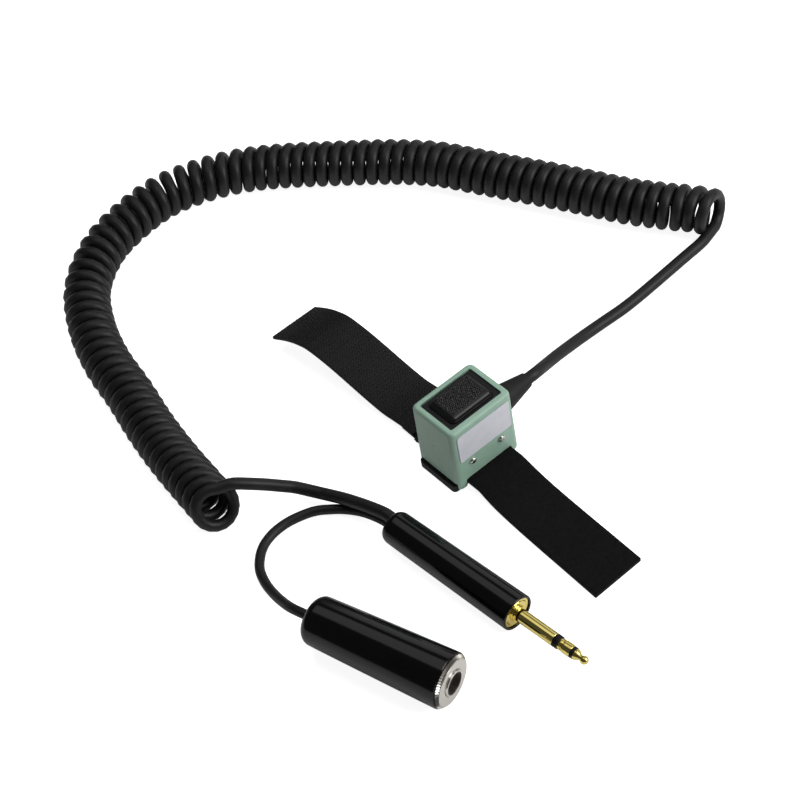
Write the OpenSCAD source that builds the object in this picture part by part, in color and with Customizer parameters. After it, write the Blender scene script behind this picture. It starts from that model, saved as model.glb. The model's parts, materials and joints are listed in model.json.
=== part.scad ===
// Portable push-to-talk switch: moulded box with a press button, a strap through its foot,
// a curly cord, a three-conductor microphone plug and an in-line jack.
// Millimetres, +Z up. The origin is the centre of the box's underside on the surface.
// X runs along the box's long side, the cord leaves its +X end and the strap runs along Y.

/* [Housing] */
// Length of the housing at its foot
housing_len = 31.6; // [30:0.1:40]
// Width of the housing at its foot
housing_wid = 24; // [22:0.1:32]
// Height of the housing's top rim above the surface
housing_top = 33; // [31:0.1:40]
// Height of the ends of the four legs above the surface
leg_z = 1; // [0.3:0.1:2]
// How far each wall leans in over the full height
draft = 0.3; // [0:0.05:0.8]
// Radius of the upright edges
corner_r = 2.6; // [1.5:0.1:4]
// Radius round the top rim
edge_r = 1.5; // [0.6:0.1:2]
// Thickness of the end walls
end_wall = 2; // [1.2:0.1:2.4]
// Thickness of the front and back walls
side_wall = 1.4; // [1:0.1:1.6]
// Width of the rim round the button
rim_w = 2.6; // [2:0.1:3.2]
// Thickness of the rim from top to underside
rim_th = 3; // [2:0.1:3.5]
// Length of the bare plate on the front
label_len = 26.2; // [20:0.1:28]
// Height of the bare plate on the front
label_h = 13.8; // [8:0.1:14.5]
// Corner radius of the opening in the top
open_corner = 0.8; // [0.5:0.1:2.5]
// Thickness of the bare plate
label_th = 0.3; // [0.2:0.05:0.6]

/* [Base and strap tunnel] */
// How far the base reaches past the end of the housing away from the cord
flange_out = 1.2; // [0.6:0.1:3]
// Thickness of the base at its ends
flange_h = 3.3; // [2.8:0.1:4]
// Thickness of the base under the strap
floor_h = 2.6; // [1.5:0.1:2.8]
// Width of the strap's tunnel
tunnel_w = 23.4; // [22:0.1:24]
// Height of the strap's tunnel
tunnel_h = 2.6; // [2.3:0.1:3]
// Thickness of the bridge over the tunnel
bridge_h = 2; // [1.5:0.1:3]
// Spacing of the two screws on one side
screw_gap = 14.8; // [13:0.1:17]
// Height of the screws above the surface
screw_z = 13.1; // [12:0.1:14]
// Diameter of a screw's head
screw_head_d = 3; // [2.8:0.1:4.4]
// Diameter of a screw's thread
screw_d = 2; // [1.6:0.1:2.4]

/* [Button] */
// Distance from an end of the rim's opening to the button's cap
cap_end_gap = 2.5; // [2.3:0.1:3.5]
// Distance from a side of the rim's opening to the button's cap
cap_side_gap = 1.8; // [1.6:0.1:2.6]
// Height of the cap above the rim
cap_rise = 1.4; // [1.3:0.1:3]
// Gap between the cap and its bezel
cap_gap = 0.2; // [0.1:0.05:0.3]
// Travel of the button
travel = 1.2; // [0.6:0.1:1.2]
// Gap between the bezel and the rim
bezel_gap = 0.3; // [0.1:0.05:0.5]
// How far the bezel's top lies under the rim's top
bezel_drop = 0.6; // [0.2:0.1:1]
// Diameter of a return spring
spring_d = 3.2; // [2.6:0.1:3.4]
// Thickness of the spring wire
spring_wire = 0.45; // [0.3:0.05:0.6]
// Turns of a return spring
spring_turns = 5.5; // [4:0.5:6]

/* [Strain relief] */
// Height of the cord's outlet
relief_z = 16.8; // [15:0.1:18]
// Length of the strain relief outside the wall
relief_len = 16.6; // [12:0.1:22]
// Diameter of the strain relief at the wall
relief_base_d = 12.6; // [10:0.1:14]
// Diameter of the strain relief at its tip
relief_tip_d = 6.3; // [5.6:0.1:8]

/* [Strap] */
// Width of the loop tape
strap_w = 23.8; // [20:0.1:26]
// Width of the hook tape
hook_w = 23.4; // [20:0.1:26]
// Width of the strap inside its tunnel
strap_in_w = 22.8; // [18:0.1:22.8]
// Thickness of the loop tape
loop_th = 1.7; // [1.2:0.1:1.9]
// Thickness of the hook tape
hook_th = 1.5; // [1:0.1:1.8]
// Distance from the box's centre to the end of the loop tape
loop_reach = 84; // [60:0.5:110]
// Distance from the box's centre to the end of the hook tape
hook_reach = 103; // [70:0.5:130]

/* [Cords] */
// Diameter of the curly cord
cord_d = 4.8; // [4.4:0.1:5]
// Diameter of the cord inside the coil, a little under its real size
coil_wire = 4.1; // [3.6:0.1:4.2]
// Outside diameter of the coil
coil_od = 20.4; // [19:0.1:22]
// Turns of the coil
coil_turns = 77.5; // [60.5:1:77.5]
// Diameter of the short cord to the jack
jack_cord_d = 3.9; // [3:0.1:4.2]

/* [Plug] */
// Length of the plug's handle
plug_len = 63.8; // [50:0.1:75]
// Diameter of the handle at its front
plug_front_d = 14.6; // [14:0.1:16]
// Diameter of the handle at its rear
plug_rear_d = 13.6; // [12.8:0.1:15]
// Diameter of the plug's finger
finger_d = 5.23; // [5.2:0.01:5.26]
// Length of the finger's sleeve contact
sleeve_len = 17.9; // [16:0.1:19]

/* [Jack] */
// Length of the jack with its face nut
jack_len = 60.4; // [56:0.1:70]
// Diameter of the jack at its front
jack_front_d = 21.6; // [21:0.1:23]
// Diameter of the jack at its rear
jack_rear_d = 19.2; // [18:0.1:21]
// Diameter of the jack's socket
socket_d = 5.33; // [5.3:0.01:5.4]

/* [Hidden] */
$fn = 48;

mint = [0.62, 0.76, 0.66];
black = [0.07, 0.07, 0.08];
gold = [0.85, 0.66, 0.3];
nickel = [0.75, 0.75, 0.76];
red_brown = [0.45, 0.22, 0.12];
hx = housing_len / 2;
hy = housing_wid / 2;
in_x = hx - end_wall;
in_y = hy - side_wall;
rim_z = housing_top - rim_th;
open_x = hx - draft - rim_w;
open_y = hy - draft - rim_w;
tunnel_top = floor_h + tunnel_h;
bridge_top = tunnel_top + bridge_h;
carrier_z = relief_z + 3.6;
carrier_th = 1.6;
seat_z = carrier_z + carrier_th;
bezel_top = housing_top - bezel_drop;
flange_z = rim_z - 1.1;
cap_x = open_x - cap_end_gap;
cap_y = open_y - cap_side_gap;
cap_top = housing_top + cap_rise;
cap_foot = rim_z - 0.1;
cap_roof = cap_top - 1.6;
boss_foot = seat_z + 7.8;
spring_x = cap_x - 1.6 - spring_d / 2;
case_x = spring_x - 0.1 - spring_d / 2;
pin_x = case_x - 2.5;
cord_r = cord_d / 2;
wall_x = hx - draft * relief_z / housing_top;
relief_x = hx + 0.05;
relief_end = relief_x + relief_len;
coil_r = (coil_od - 4.9) / 2;
coil_z = coil_od / 2;
plug_at = [-46.6, -8.9, plug_front_d / 2 + 0.02];
plug_turn = -85.2;
jack_at = [-95.9, -21.7, jack_front_d / 2 + 0.02];
jack_turn = -73.1;

// Place on the plug or the jack, along it, beside it and above its middle
function from_piece(at, turn, x, y, z) =
  at + [x * cos(turn) - y * sin(turn), x * sin(turn) + y * cos(turn), z];
function plug_point(x, y, z) = from_piece(plug_at, plug_turn, x, y, z);
function jack_point(x) = from_piece(jack_at, jack_turn, x, 0, 0);
plug_dir = [cos(plug_turn), sin(plug_turn), 0];

// Route of the cord from the strain relief to the coil's first turn
lead_way = [[46, 3.2, 12.6], [54, 5.5, 9.6], [63, 7.6, 6.5], [72, 9, 4.2], [82.5, 9.5, 2.8],
  [93.9, 9.1, 2.45], [104, 9.3, 2.45], [115, 9.9, 2.45], [126, 10.6, 2.45],
  [134.2, 11.1, 2.45], [140.2, 11.4, 2.45]];
// Centre line of the coil on the surface
coil_route = [[154.5, 12.6], [149.7, 22.7], [145, 29.7], [140.5, 37.1], [136.2, 44.5],
  [132.3, 52.4], [128.7, 60.7], [121.2, 77], [113.1, 93.4], [105.2, 109.9], [97, 126.5],
  [86.3, 141.1], [74.3, 154.4], [61.6, 167.6], [48.8, 180.4], [34.9, 191.7], [19.1, 200],
  [1.6, 204.9], [-17.7, 203.7], [-37.4, 197.5], [-55.9, 182.7], [-67.8, 161.9],
  [-74.8, 140.5], [-78.6, 119], [-83.1, 97.9], [-86.3, 77.2], [-88.3, 57], [-89.1, 48],
  [-89.6, 41.9]];
// Turns wound up to each distance along the coil, the last turn leaning outwards
wound = [[0, 1.8], [0.25, 2.1], [0.5, 4.1], [1, 7.2], [2, 13.4], [11, 62.1], [21, 118.4],
  [31, 175.6], [38, 215.6], [44, 254], [47, 273.2], [51, 300.5], [54, 321.2], [58, 346.2],
  [62, 370.8], [66, 395.1], [70, 417.9], [74, 438.8], [75.5, 446.5], [76, 450], [76.5, 453],
  [76.75, 459.6], [77, 463.6], [77.25, 461.5], [77.5, 458.4]];
// Route of the cord from the coil's last turn to the plug
tail_way = [[-74.3, 40.4, 15], [-69.7, 38.5, 12], [-64.9, 35.9, 9], [-60.7, 33.2, 6.6],
  [-57.1, 28.6, 5.2], [-54.6, 24.2, 4.9], [-53.6, 21.6, 5.4], [-51, 14.7, 6.6],
  [-49.3, 9.3, 7.5], [-47.8, 3.8, 8.4]];
tail_end = plug_point(-0.02, 1, 2.15);
// Route of the short cord from the plug to the jack
jack_start = plug_point(-0.02, 0.6, -2.4);
jack_way = [[-47.1, 0.7, 4], [-48.6, 6.8, 2.9], [-51.1, 11.8, 2.3], [-53.9, 15.4, 2.2],
  [-56.6, 18.1, 2.1], [-59.5, 20.6, 2.1], [-63, 22.6, 2.1], [-68, 24.3, 2.1], [-72.7, 25.2, 2.1],
  [-77.6, 25.2, 2.1], [-81.8, 24.4, 2.1], [-85.6, 22.8, 2.1], [-89.3, 20, 2.1],
  [-93.2, 15.2, 2.1], [-95.6, 8.6, 2.5], [-96.9, 1.5, 4], [-97.7, -5.5, 6.6], [-98, -12, 9.4]];
// Stations of the two tapes: across, along, height of the underside, half width
tunnel_strap = strap_in_w / 2;
full_loop = strap_w / 2;
seam_strap = tunnel_strap - 0.5;
loop_end = loop_reach - 84;
loop_stations = [[-2.5, -84 - loop_end, 0.05, full_loop], [-2, -70 - loop_end / 2, 0.05, full_loop],
  [-1.5, -55, 0.05, full_loop], [-1, -42, 0.1, full_loop], [-0.6, -33, 0.4, full_loop],
  [-0.4, -27, 1.1, full_loop], [-0.2, -22, 2.1, full_loop], [0, -18.4, floor_h + 0.2, tunnel_strap],
  [0, -16, floor_h + 0.3, tunnel_strap], [0, 16, floor_h + 0.3, tunnel_strap],
  [0, 18.4, 2.2, tunnel_strap], [0.3, 20.5, 1.4, seam_strap], [0.3, 22, 1.2, seam_strap],
  [0, 29, 1.1, seam_strap]];
hook_shape = [[-0.5, 34, 2.6], [-1.1, 40, 2.6], [-2.1, 50, 4.9], [-3.1, 60, 8], [-4.1, 70, 10.8],
  [-5.1, 80, 12.5], [-5.7, 86, 11.8], [-6.3, 92, 10], [-6.9, 98, 7.1], [-7.4, 103, 4.5]];
seam_z = loop_th + 1.2;
hook_stations = concat([[0.6, 21, seam_z + 0.2, hook_w / 2], [0.5, 24, seam_z + 0.05, hook_w / 2],
  [0, 29, seam_z, hook_w / 2]],
  [for (h = hook_shape) [h[0], 30 + (h[1] - 30) * (hook_reach - 30) / 73, h[2], hook_w / 2]]);

function unit(v) = v / norm(v);
function corner(hx, hy, r, q, a) =
  [(q == 0 || q == 3 ? 1 : -1) * (hx - r) + r * cos(a), (q < 2 ? 1 : -1) * (hy - r) + r * sin(a)];
function rounded(hx, hy, r, n = 6) =
  [for (q = [0:3], k = [0:n]) corner(hx, hy, r, q, 90 * q + 90 * k / n)];
function curve(a, b, c, d, t) = 0.5 * (2 * b + (c - a) * t + (2 * a - 5 * b + 4 * c - d) * t * t
  + (3 * b - a - 3 * c + d) * t * t * t);
function smooth(p, n) = concat([for (i = [0:len(p) - 2], k = [0:n - 1])
  curve(i == 0 ? 2 * p[0] - p[1] : p[i - 1], p[i], p[i + 1],
    i == len(p) - 2 ? 2 * p[i + 1] - p[i] : p[i + 2], k / n)], [p[len(p) - 1]]);
function run_lengths(p) = [for (i = 0, s = 0; i < len(p);
  i = i + 1, s = s + (i < len(p) ? norm(p[i] - p[i - 1]) : 0)) s];
function along(p, i) = i == 0 ? unit(p[1] - p[0])
  : i == len(p) - 1 ? unit(p[i] - p[i - 1]) : unit(unit(p[i + 1] - p[i]) + unit(p[i] - p[i - 1]));
// Two directions square to the path, the first one kept as level as it can be
function across(t) = let(f = abs(t[2]) > 0.9 ? [1, 0, 0] : [0, 0, 1]) unit(cross(t, f));

module plate(px, py, r, z0, z1) {
  translate([0, 0, z0])
    linear_extrude(z1 - z0)
      polygon(rounded(px, py, r));
}

// Solid skin through rings of points, the same number in every ring
module rings(p, m) {
  n = len(p) / m;
  sides = [for (i = [0:n - 2], j = [0:m - 1]) let(k = (j + 1) % m)
    [[i * m + j, i * m + k, (i + 1) * m + k], [i * m + j, (i + 1) * m + k, (i + 1) * m + j]]];
  caps = [for (j = [1:m - 2]) [0, j + 1, j], for (j = [1:m - 2])
    [(n - 1) * m, (n - 1) * m + j, (n - 1) * m + j + 1]];
  polyhedron(points = p, faces = concat([for (s = sides, f = s) f], caps), convexity = 10);
}

// Round bar along a path
module tube(path, r, m) {
  rings([for (i = [0:len(path) - 1]) let(t = along(path, i), u = across(t), v = cross(u, t))
    for (j = [0:m - 1]) path[i] + r * (cos(360 * j / m) * u - sin(360 * j / m) * v)], m);
}

// Flat tape through its stations, square to its own slope
module tape(st, th) {
  p = [for (s = st) [0, s[1], s[2]]];
  rings([for (i = [0:len(st) - 1])
    let(t = along(p, i), n = [0, -t[2], t[1]], w = [st[i][3], 0, 0], c = p[i] + [st[i][0], 0, 0])
    each [c - w + th * n, c - w, c + w, c + w + th * n]], 4);
}

// Turned piece lying along X, its profile given as [distance, radius] points
module turned(profile, fine = 64) {
  rotate([0, 90, 0])
    rotate_extrude($fn = fine)
      polygon([for (q = profile) [q[1], q[0]]]);
}

module bar(x0, x1, r, fine = 48) {
  translate([x0, 0, 0])
    rotate([0, 90, 0])
      cylinder(r = r, h = x1 - x0, $fn = fine);
}

module in_plug() {
  translate(plug_at)
    rotate([0, 0, plug_turn])
      children();
}

module in_jack() {
  translate(jack_at)
    rotate([0, 0, jack_turn])
      children();
}

// ---- switch box ----

module outer_level(z, inset) {
  lean = draft * z / housing_top + inset;
  translate([0, 0, z])
    linear_extrude(0.01)
      polygon(rounded(hx - lean, hy - lean, corner_r - inset * 0.8));
}

module housing_outside() {
  top_z = housing_top - 0.01;
  hull() {
    outer_level(leg_z, 0.3);
    outer_level(leg_z + 0.4, 0);
    for (a = [0, 30, 60, 90]) {
      outer_level(top_z - edge_r * (1 - sin(a)), edge_r * (1 - cos(a)));
    }
  }
}

module housing_inside() {
  hull() {
    translate([0, 0, leg_z - 1])
      linear_extrude(0.01)
        polygon(rounded(in_x, in_y, 1));
    translate([0, 0, rim_z - 0.01])
      linear_extrude(0.01)
        polygon(rounded(in_x - draft, in_y - draft, 1));
  }
}

module housing() {
  slot_w = tunnel_w;
  slot_r = 0.8;
  color(mint)
    difference() {
      housing_outside();
      housing_inside();
      plate(open_x, open_y, open_corner, rim_z - 1, housing_top + 1);
      translate([-slot_w / 2, -hy - 1, -1])
        cube([slot_w, housing_wid + 2, tunnel_top - slot_r + 1]);
      translate([-slot_w / 2 + slot_r, -hy - 1, 0])
        cube([slot_w - 2 * slot_r, housing_wid + 2, tunnel_top]);
      for (s = [-1, 1]) {
        translate([s * (slot_w / 2 - slot_r), -hy - 1, tunnel_top - slot_r])
          rotate([-90, 0, 0])
            cylinder(r = slot_r, h = housing_wid + 2, $fn = 24);
      }
      translate([-hx - 1, -in_y - 0.2, -1])
        cube([housing_len + 2, 2 * in_y + 0.4, flange_h + 1.1]);
      for (s = [-1, 1]) {
        translate([s * screw_gap / 2, 0, screw_z])
          rotate([90, 0, 0])
            cylinder(r = screw_d / 2 + 0.2, h = housing_wid + 2, center = true, $fn = 24);
      }
      translate([in_x - 2, 0, relief_z])
        rotate([0, 90, 0])
          cylinder(r = 3.6, h = end_wall + 4);
      translate([-hx - 0.6, 0, 18.9])
        sphere(r = 1, $fn = 16);
    }
}

module label_plate() {
  lean = atan(draft / housing_top);
  color([0.86, 0.86, 0.84])
    translate([0, -hy, 0])
      rotate([-lean, 0, 0])
        translate([0, -0.02, 23.2])
          rotate([90, 0, 0])
            linear_extrude(label_th)
              polygon(rounded(label_len / 2, label_h / 2, 0.8, 4));
}

module base_block() {
  foot_x = hx - 0.3;
  color(black)
    difference() {
      union() {
        translate([(foot_x - hx - flange_out) / 2, 0, 0])
          plate((foot_x + hx + flange_out) / 2, in_y - 0.2, 1.6, 0, flange_h);
        plate(in_x - 0.3, in_y - 0.4, 0.8, flange_h - 0.1, bridge_top);
        for (sx = [-1, 1], sy = [-1, 1]) {
          translate([sx * screw_gap / 2 - 2.6, sy > 0 ? 7 : -in_y + 0.4, bridge_top - 0.1])
            cube([5.2, in_y - 7.4, carrier_z - bridge_top + 0.05]);
        }
      }
      translate([-tunnel_w / 2, -hy, floor_h])
        cube([tunnel_w, housing_wid, tunnel_h]);
      for (s = [-1, 1]) {
        translate([s * screw_gap / 2, 0, screw_z])
          rotate([90, 0, 0])
            cylinder(r = screw_d / 2 + 0.05, h = housing_wid, center = true, $fn = 24);
      }
    }
}

module pan_screw() {
  difference() {
    union() {
      rotate_extrude($fn = 32)
        polygon([[0, 0], [screw_head_d / 2, 0], [screw_head_d / 2, 0.5],
          [screw_head_d / 2 - 0.2, 0.85], [screw_head_d / 2 - 0.6, 1.05], [0, 1.15]]);
      translate([0, 0, -4.6])
        cylinder(r = screw_d / 2, h = 4.7, $fn = 24);
    }
    translate([-0.2, -0.9, 0.6])
      cube([0.4, 1.8, 1]);
    translate([-0.9, -0.2, 0.6])
      cube([1.8, 0.4, 1]);
  }
}

module housing_screws() {
  face_y = hy - draft * (screw_z - 2) / housing_top + 0.02;
  color(nickel)
    for (sx = [-1, 1], sy = [-1, 1]) {
      translate([sx * screw_gap / 2, sy * face_y, screw_z])
        rotate([-sy * 90, 0, 0])
          pan_screw();
    }
}

module button_cap() {
  color(black)
    difference() {
      union() {
        plate(cap_x, cap_y, 1.8, cap_foot, cap_top - 1);
        hull() {
          plate(cap_x, cap_y, 1.8, cap_top - 1.2, cap_top - 0.9);
          plate(cap_x - 0.35, cap_y - 0.35, 1.6, cap_top - 0.4, cap_top - 0.35);
          plate(cap_x - 1.1, cap_y - 1.1, 1.2, cap_top - 0.01, cap_top);
        }
        plate(cap_x + 0.9, cap_y + 0.6, 1.2, cap_foot, cap_foot + 1);
      }
      plate(cap_x - 1.4, cap_y - 1.3, 0.8, cap_foot - 1, cap_roof);
    }
  color(black)
    translate([0, 0, boss_foot])
      cylinder(r = 2, h = cap_roof - boss_foot + 0.1, $fn = 32);
  color(black)
    for (s = [-1, 1]) {
      translate([s * spring_x, 0, cap_roof - 2])
        cylinder(r = 0.9, h = 2.1, $fn = 24);
    }
}

module button_bezel() {
  well_x = cap_x + 1.2;
  well_y = cap_y + 0.9;
  color(black)
    difference() {
      union() {
        plate(open_x - bezel_gap, open_y - bezel_gap, open_corner, flange_z + 0.5, bezel_top);
        plate(in_x - draft - 0.35, open_y + 0.4, 1, flange_z, rim_z - 0.1);
      }
      plate(cap_x + cap_gap, cap_y + cap_gap, 2, flange_z - 1, bezel_top + 1);
      plate(well_x, well_y, 1.4, flange_z - 1, cap_foot + 1.3);
    }
}

module one_spring(x) {
  r = (spring_d - spring_wire) / 2;
  z0 = seat_z + spring_wire / 2 + 0.02;
  z1 = cap_roof - spring_wire / 2 - 0.02;
  n = spring_turns * 8;
  turns = [for (i = [0:n]) [r * cos(45 * i), r * sin(45 * i), z0 + (z1 - z0) * i / n]];
  translate([x, 0, 0])
    tube(turns, spring_wire / 2, 6);
}

module return_springs() {
  color(nickel)
    one_spring(-spring_x);
  color(nickel)
    one_spring(spring_x);
}

module switch_carrier() {
  post_x = cap_x + 1.3;
  end_x = in_x - draft - 0.3;
  color(black)
    difference() {
      union() {
        plate(end_x, in_y - draft - 0.4, 0.8, carrier_z, seat_z);
        for (sx = [-1, 1], sy = [-1, 1]) {
          translate([sx > 0 ? post_x : -end_x, sy > 0 ? cap_y - 0.8 : -open_y + 0.1, seat_z - 0.1])
            cube([end_x - post_x, open_y - cap_y + 0.7, flange_z - seat_z + 0.05]);
        }
      }
      for (s = [-1, 1]) {
        translate([s > 0 ? post_x - 0.2 : -end_x - 1, -5, carrier_z - 1])
          cube([end_x - post_x + 1.2, 10, carrier_th + 2]);
      }
      for (x = [-pin_x, 0, pin_x]) {
        translate([x, 0, carrier_z - 1])
          cylinder(r = 0.5, h = carrier_th + 2, $fn = 16);
      }
    }
}

module switch_case() {
  color(red_brown)
    difference() {
      translate([-case_x, -4, seat_z])
        cube([2 * case_x, 8, 5]);
      translate([1 - case_x, -3, seat_z + 1.2])
        cube([2 * case_x - 2, 6, 5]);
      for (x = [-pin_x, 0, pin_x]) {
        translate([x, 0, seat_z - 1])
          cylinder(r = 0.45, h = 4, $fn = 16);
      }
    }
}

module switch_cover() {
  color(black)
    difference() {
      translate([-case_x, -4, seat_z + 5.02])
        cube([2 * case_x, 8, 1]);
      translate([0, 0, seat_z + 4])
        cylinder(r = 1.3, h = 4, $fn = 32);
    }
}

module switch_plunger() {
  color([0.85, 0.82, 0.75])
    union() {
      translate([0, 0, seat_z + 4.2])
        cylinder(r = 1.25, h = 3.3, $fn = 32);
      translate([0, 0, seat_z + 3.7])
        cylinder(r = 2, h = 1, $fn = 32);
    }
}

module switch_blade() {
  color(gold)
    union() {
      translate([1.5 - case_x, -1, seat_z + 1.2])
        cube([2 * case_x - 3, 2, 0.3]);
      translate([0, 0, seat_z + 1.4])
        cylinder(r = 0.8, h = 0.8, $fn = 24);
    }
}

module switch_terminals() {
  color(gold)
    for (x = [-pin_x, 0, pin_x]) {
      translate([x, 0, seat_z - 3.6])
        cylinder(r = 0.4, h = 4.77, $fn = 16);
    }
}

module lead_wires() {
  tones = [[0.8, 0.1, 0.1], [0.9, 0.9, 0.9], [0.1, 0.1, 0.1]];
  for (k = [0:2]) {
    x = pin_x * (k - 1);
    start_z = relief_z - 0.8;
    color(tones[k])
      tube(smooth([[6.9, k - 1, start_z], [5.6, k - 1, start_z],
        [x + 1, 0.6 * (k - 1), relief_z - 0.6], [x, 0, seat_z - 3.65]], 3), 0.35, 6);
  }
}

module strain_relief() {
  tip_r = relief_tip_d / 2;
  base_r = relief_base_d / 2;
  color(black)
    difference() {
      translate([0, 0, relief_z])
        turned([[in_x - draft - 1.3, 0], [in_x - draft - 1.3, 4.2], [in_x - draft, 4.2],
          [in_x - draft, 3.55], [relief_x, 3.55], [relief_x, base_r],
          [relief_x + 1.2, base_r - 0.1], [relief_end - 0.8, tip_r], [relief_end, tip_r - 0.5],
          [relief_end, 0]]);
      translate([0, 0, relief_z])
        bar(in_x - 4, relief_end + 1, cord_r + 0.05);
    }
}

module cord_stub() {
  color(black)
    translate([0, 0, relief_z])
      bar(7, relief_end, cord_r);
}

module cord_clamp() {
  color(nickel)
    difference() {
      translate([0, 0, relief_z])
        bar(in_x - draft - 3.3, in_x - draft - 1.5, cord_r + 1.1, 32);
      translate([0, 0, relief_z])
        bar(in_x - 5, in_x, cord_r + 0.05);
    }
}

// ---- strap ----

module strap_loop_tape() {
  color([0.1, 0.1, 0.1])
    tape(loop_stations, loop_th);
}

module strap_hook_tape() {
  color([0.13, 0.13, 0.13])
    tape(hook_stations, hook_th);
}

// ---- cords ----

coil_line = smooth(coil_route, 6);
coil_run = run_lengths(coil_line);
coil_span = coil_run[len(coil_run) - 1];
line_x = [for (i = [0:len(coil_line) - 1]) [coil_run[i], coil_line[i][0]]];
line_y = [for (i = [0:len(coil_line) - 1]) [coil_run[i], coil_line[i][1]]];
per_turn = 8;
join = 4.85;
wound_turns = wound[len(wound) - 1][0];
function coil_centre(s) = [lookup(s, line_x), lookup(s, line_y), coil_z];
function coil_point(q) = let(s = lookup(q * wound_turns / coil_turns, wound), c = coil_centre(s),
  d = unit(coil_centre(min(s + 2, coil_span)) - coil_centre(max(s - 2, 0))),
  n = [-d[1], d[0], 0], a = 270 - 360 * q)
  c + coil_r * (cos(a) * n + [0, 0, sin(a)]);
coil_turned = [for (i = [0:coil_turns * per_turn]) coil_point(i / per_turn)];
lead_turn = unit([0.971, 0.239, 0]);
tail_turn = unit([0.9, -0.436, 0]);
coil_in = coil_turned[0] - join * lead_turn;
coil_out = coil_turned[len(coil_turned) - 1] + join * tail_turn;
coil_path = concat([coil_in], coil_turned, [coil_out]);
// Least distance between the surfaces of turns that lie side by side
coil_gap = min([for (i = [0:len(coil_turned) - per_turn - 3], k = [-2:2])
  norm(coil_turned[i] - coil_turned[i + per_turn + k])]) - coil_wire;
lead_route = concat([[relief_end + 0.02, 0, relief_z], [relief_end + join, 0, relief_z]], lead_way,
  [coil_in - join * lead_turn, coil_in - 0.02 * lead_turn]);
tail_route = concat([coil_out + 0.02 * tail_turn, coil_out + join * tail_turn], tail_way,
  [tail_end - join * plug_dir, tail_end]);
jack_route = concat([jack_start, jack_start - 4 * plug_dir], jack_way,
  [jack_point(-4.5), jack_point(-0.02)]);

module lead_cord() {
  color(black)
    tube(lead_route, cord_r, 10);
}

module coil_cord() {
  echo(coil_gap = coil_gap, coil_span = coil_span, coil_in = coil_in, coil_out = coil_out);
  color(black)
    tube(coil_path, coil_wire / 2, 6);
}

module tail_cord() {
  color(black)
    tube(tail_route, cord_r, 10);
}

module jack_cord() {
  color(black)
    tube(jack_route, jack_cord_d / 2, 8);
}

// ---- plug, from its rear at 0 to the tip ----

sleeve_r = finger_d / 2;
sleeve_end = plug_len + sleeve_len;

module plug_handle() {
  rr = plug_rear_d / 2;
  fr = plug_front_d / 2;
  color(black)
    in_plug()
      turned([[0, 4.6], [0, rr - 1.9], [0.3, rr - 1.1], [0.9, rr - 0.4], [2.2, rr],
        [plug_len - 0.5, fr], [plug_len, fr - 0.4], [plug_len, fr - 0.95],
        [plug_len - 1.2, fr - 0.95], [plug_len - 1.2, 5.55], [plug_len - 8, 5.55],
        [plug_len - 8, 5.2], [3, 5.2], [3, 4.6]]);
}

module plug_cord_bushing() {
  color(black)
    in_plug()
      bar(0, 4, 4.55);
}

module plug_body() {
  color(gold)
    in_plug()
      turned([[plug_len - 8, 1.75], [plug_len - 8, 5.5], [plug_len - 1.15, 5.5],
        [plug_len - 1.15, plug_front_d / 2 - 1], [plug_len, plug_front_d / 2 - 1],
        [plug_len, 3.2], [plug_len + 0.8, 3.2], [plug_len + 0.8, sleeve_r],
        [sleeve_end, sleeve_r], [sleeve_end, 1.75]]);
}

module plug_rear_insulator() {
  color(black)
    in_plug()
      turned([[plug_len - 9.2, 1.35], [plug_len - 9.2, 4.4], [plug_len - 8.02, 4.4],
        [plug_len - 8.02, 1.7], [sleeve_end + 0.02, 1.7], [sleeve_end + 0.02, sleeve_r],
        [sleeve_end + 2.3, sleeve_r], [sleeve_end + 2.3, 1.35]], 48);
}

module plug_ring_contact() {
  color(gold)
    in_plug()
      turned([[plug_len - 11.8, 1], [plug_len - 11.8, 1.3], [sleeve_end + 2.32, 1.3],
        [sleeve_end + 2.32, 2.1], [sleeve_end + 4.5, 2.1], [sleeve_end + 4.9, 2.44],
        [sleeve_end + 8.1, 2.44], [sleeve_end + 8.4, 2.3], [sleeve_end + 8.4, 1]], 48);
}

module plug_front_insulator() {
  color(black)
    in_plug()
      turned([[plug_len - 14.8, 0.6], [plug_len - 14.8, 0.95], [sleeve_end + 8.42, 0.95],
        [sleeve_end + 8.42, 2.3], [sleeve_end + 9.3, 2.3], [sleeve_end + 9.3, 0.6]], 48);
}

module plug_tip_contact() {
  base = sleeve_end + 9.32;
  ball = base + 4;
  tip_r = 1.65;
  color(gold)
    in_plug()
      turned([[plug_len - 17.8, 0], [plug_len - 17.8, 0.55], [base, 0.55], [base, 2.2],
        [base + 0.5, 2.15], [base + 2.4, 1.05],
        for (a = [140:-20:0]) [ball + tip_r * cos(a), tip_r * sin(a)]], 48);
}

module lug(x, bore, rim, tilt) {
  rotate([tilt, 0, 0])
    difference() {
      union() {
        bar(x, x + 0.9, rim, 32);
        translate([x - 5, -0.9, rim - 0.5])
          cube([5.9, 1.8, 0.5]);
      }
      bar(x - 1, x + 2, bore, 32);
    }
}

module plug_terminals() {
  color(nickel)
    in_plug()
      lug(plug_len - 17, 0.6, 2, 0);
  color(nickel)
    in_plug()
      lug(plug_len - 14, 1, 3, 120);
  color(nickel)
    in_plug()
      lug(plug_len - 11, 1.35, 3.4, 240);
}

// ---- jack, from its rear at 0 to its face ----

jack_r0 = jack_rear_d / 2;
jack_r1 = jack_front_d / 2;
nut_x = jack_len - 2.9;
socket_r = socket_d / 2;
stack_x = jack_len - 20.9;
spring_root = stack_x + 7.9;
nut_hole = 5.25;
nut_thread = 7.6;

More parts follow.
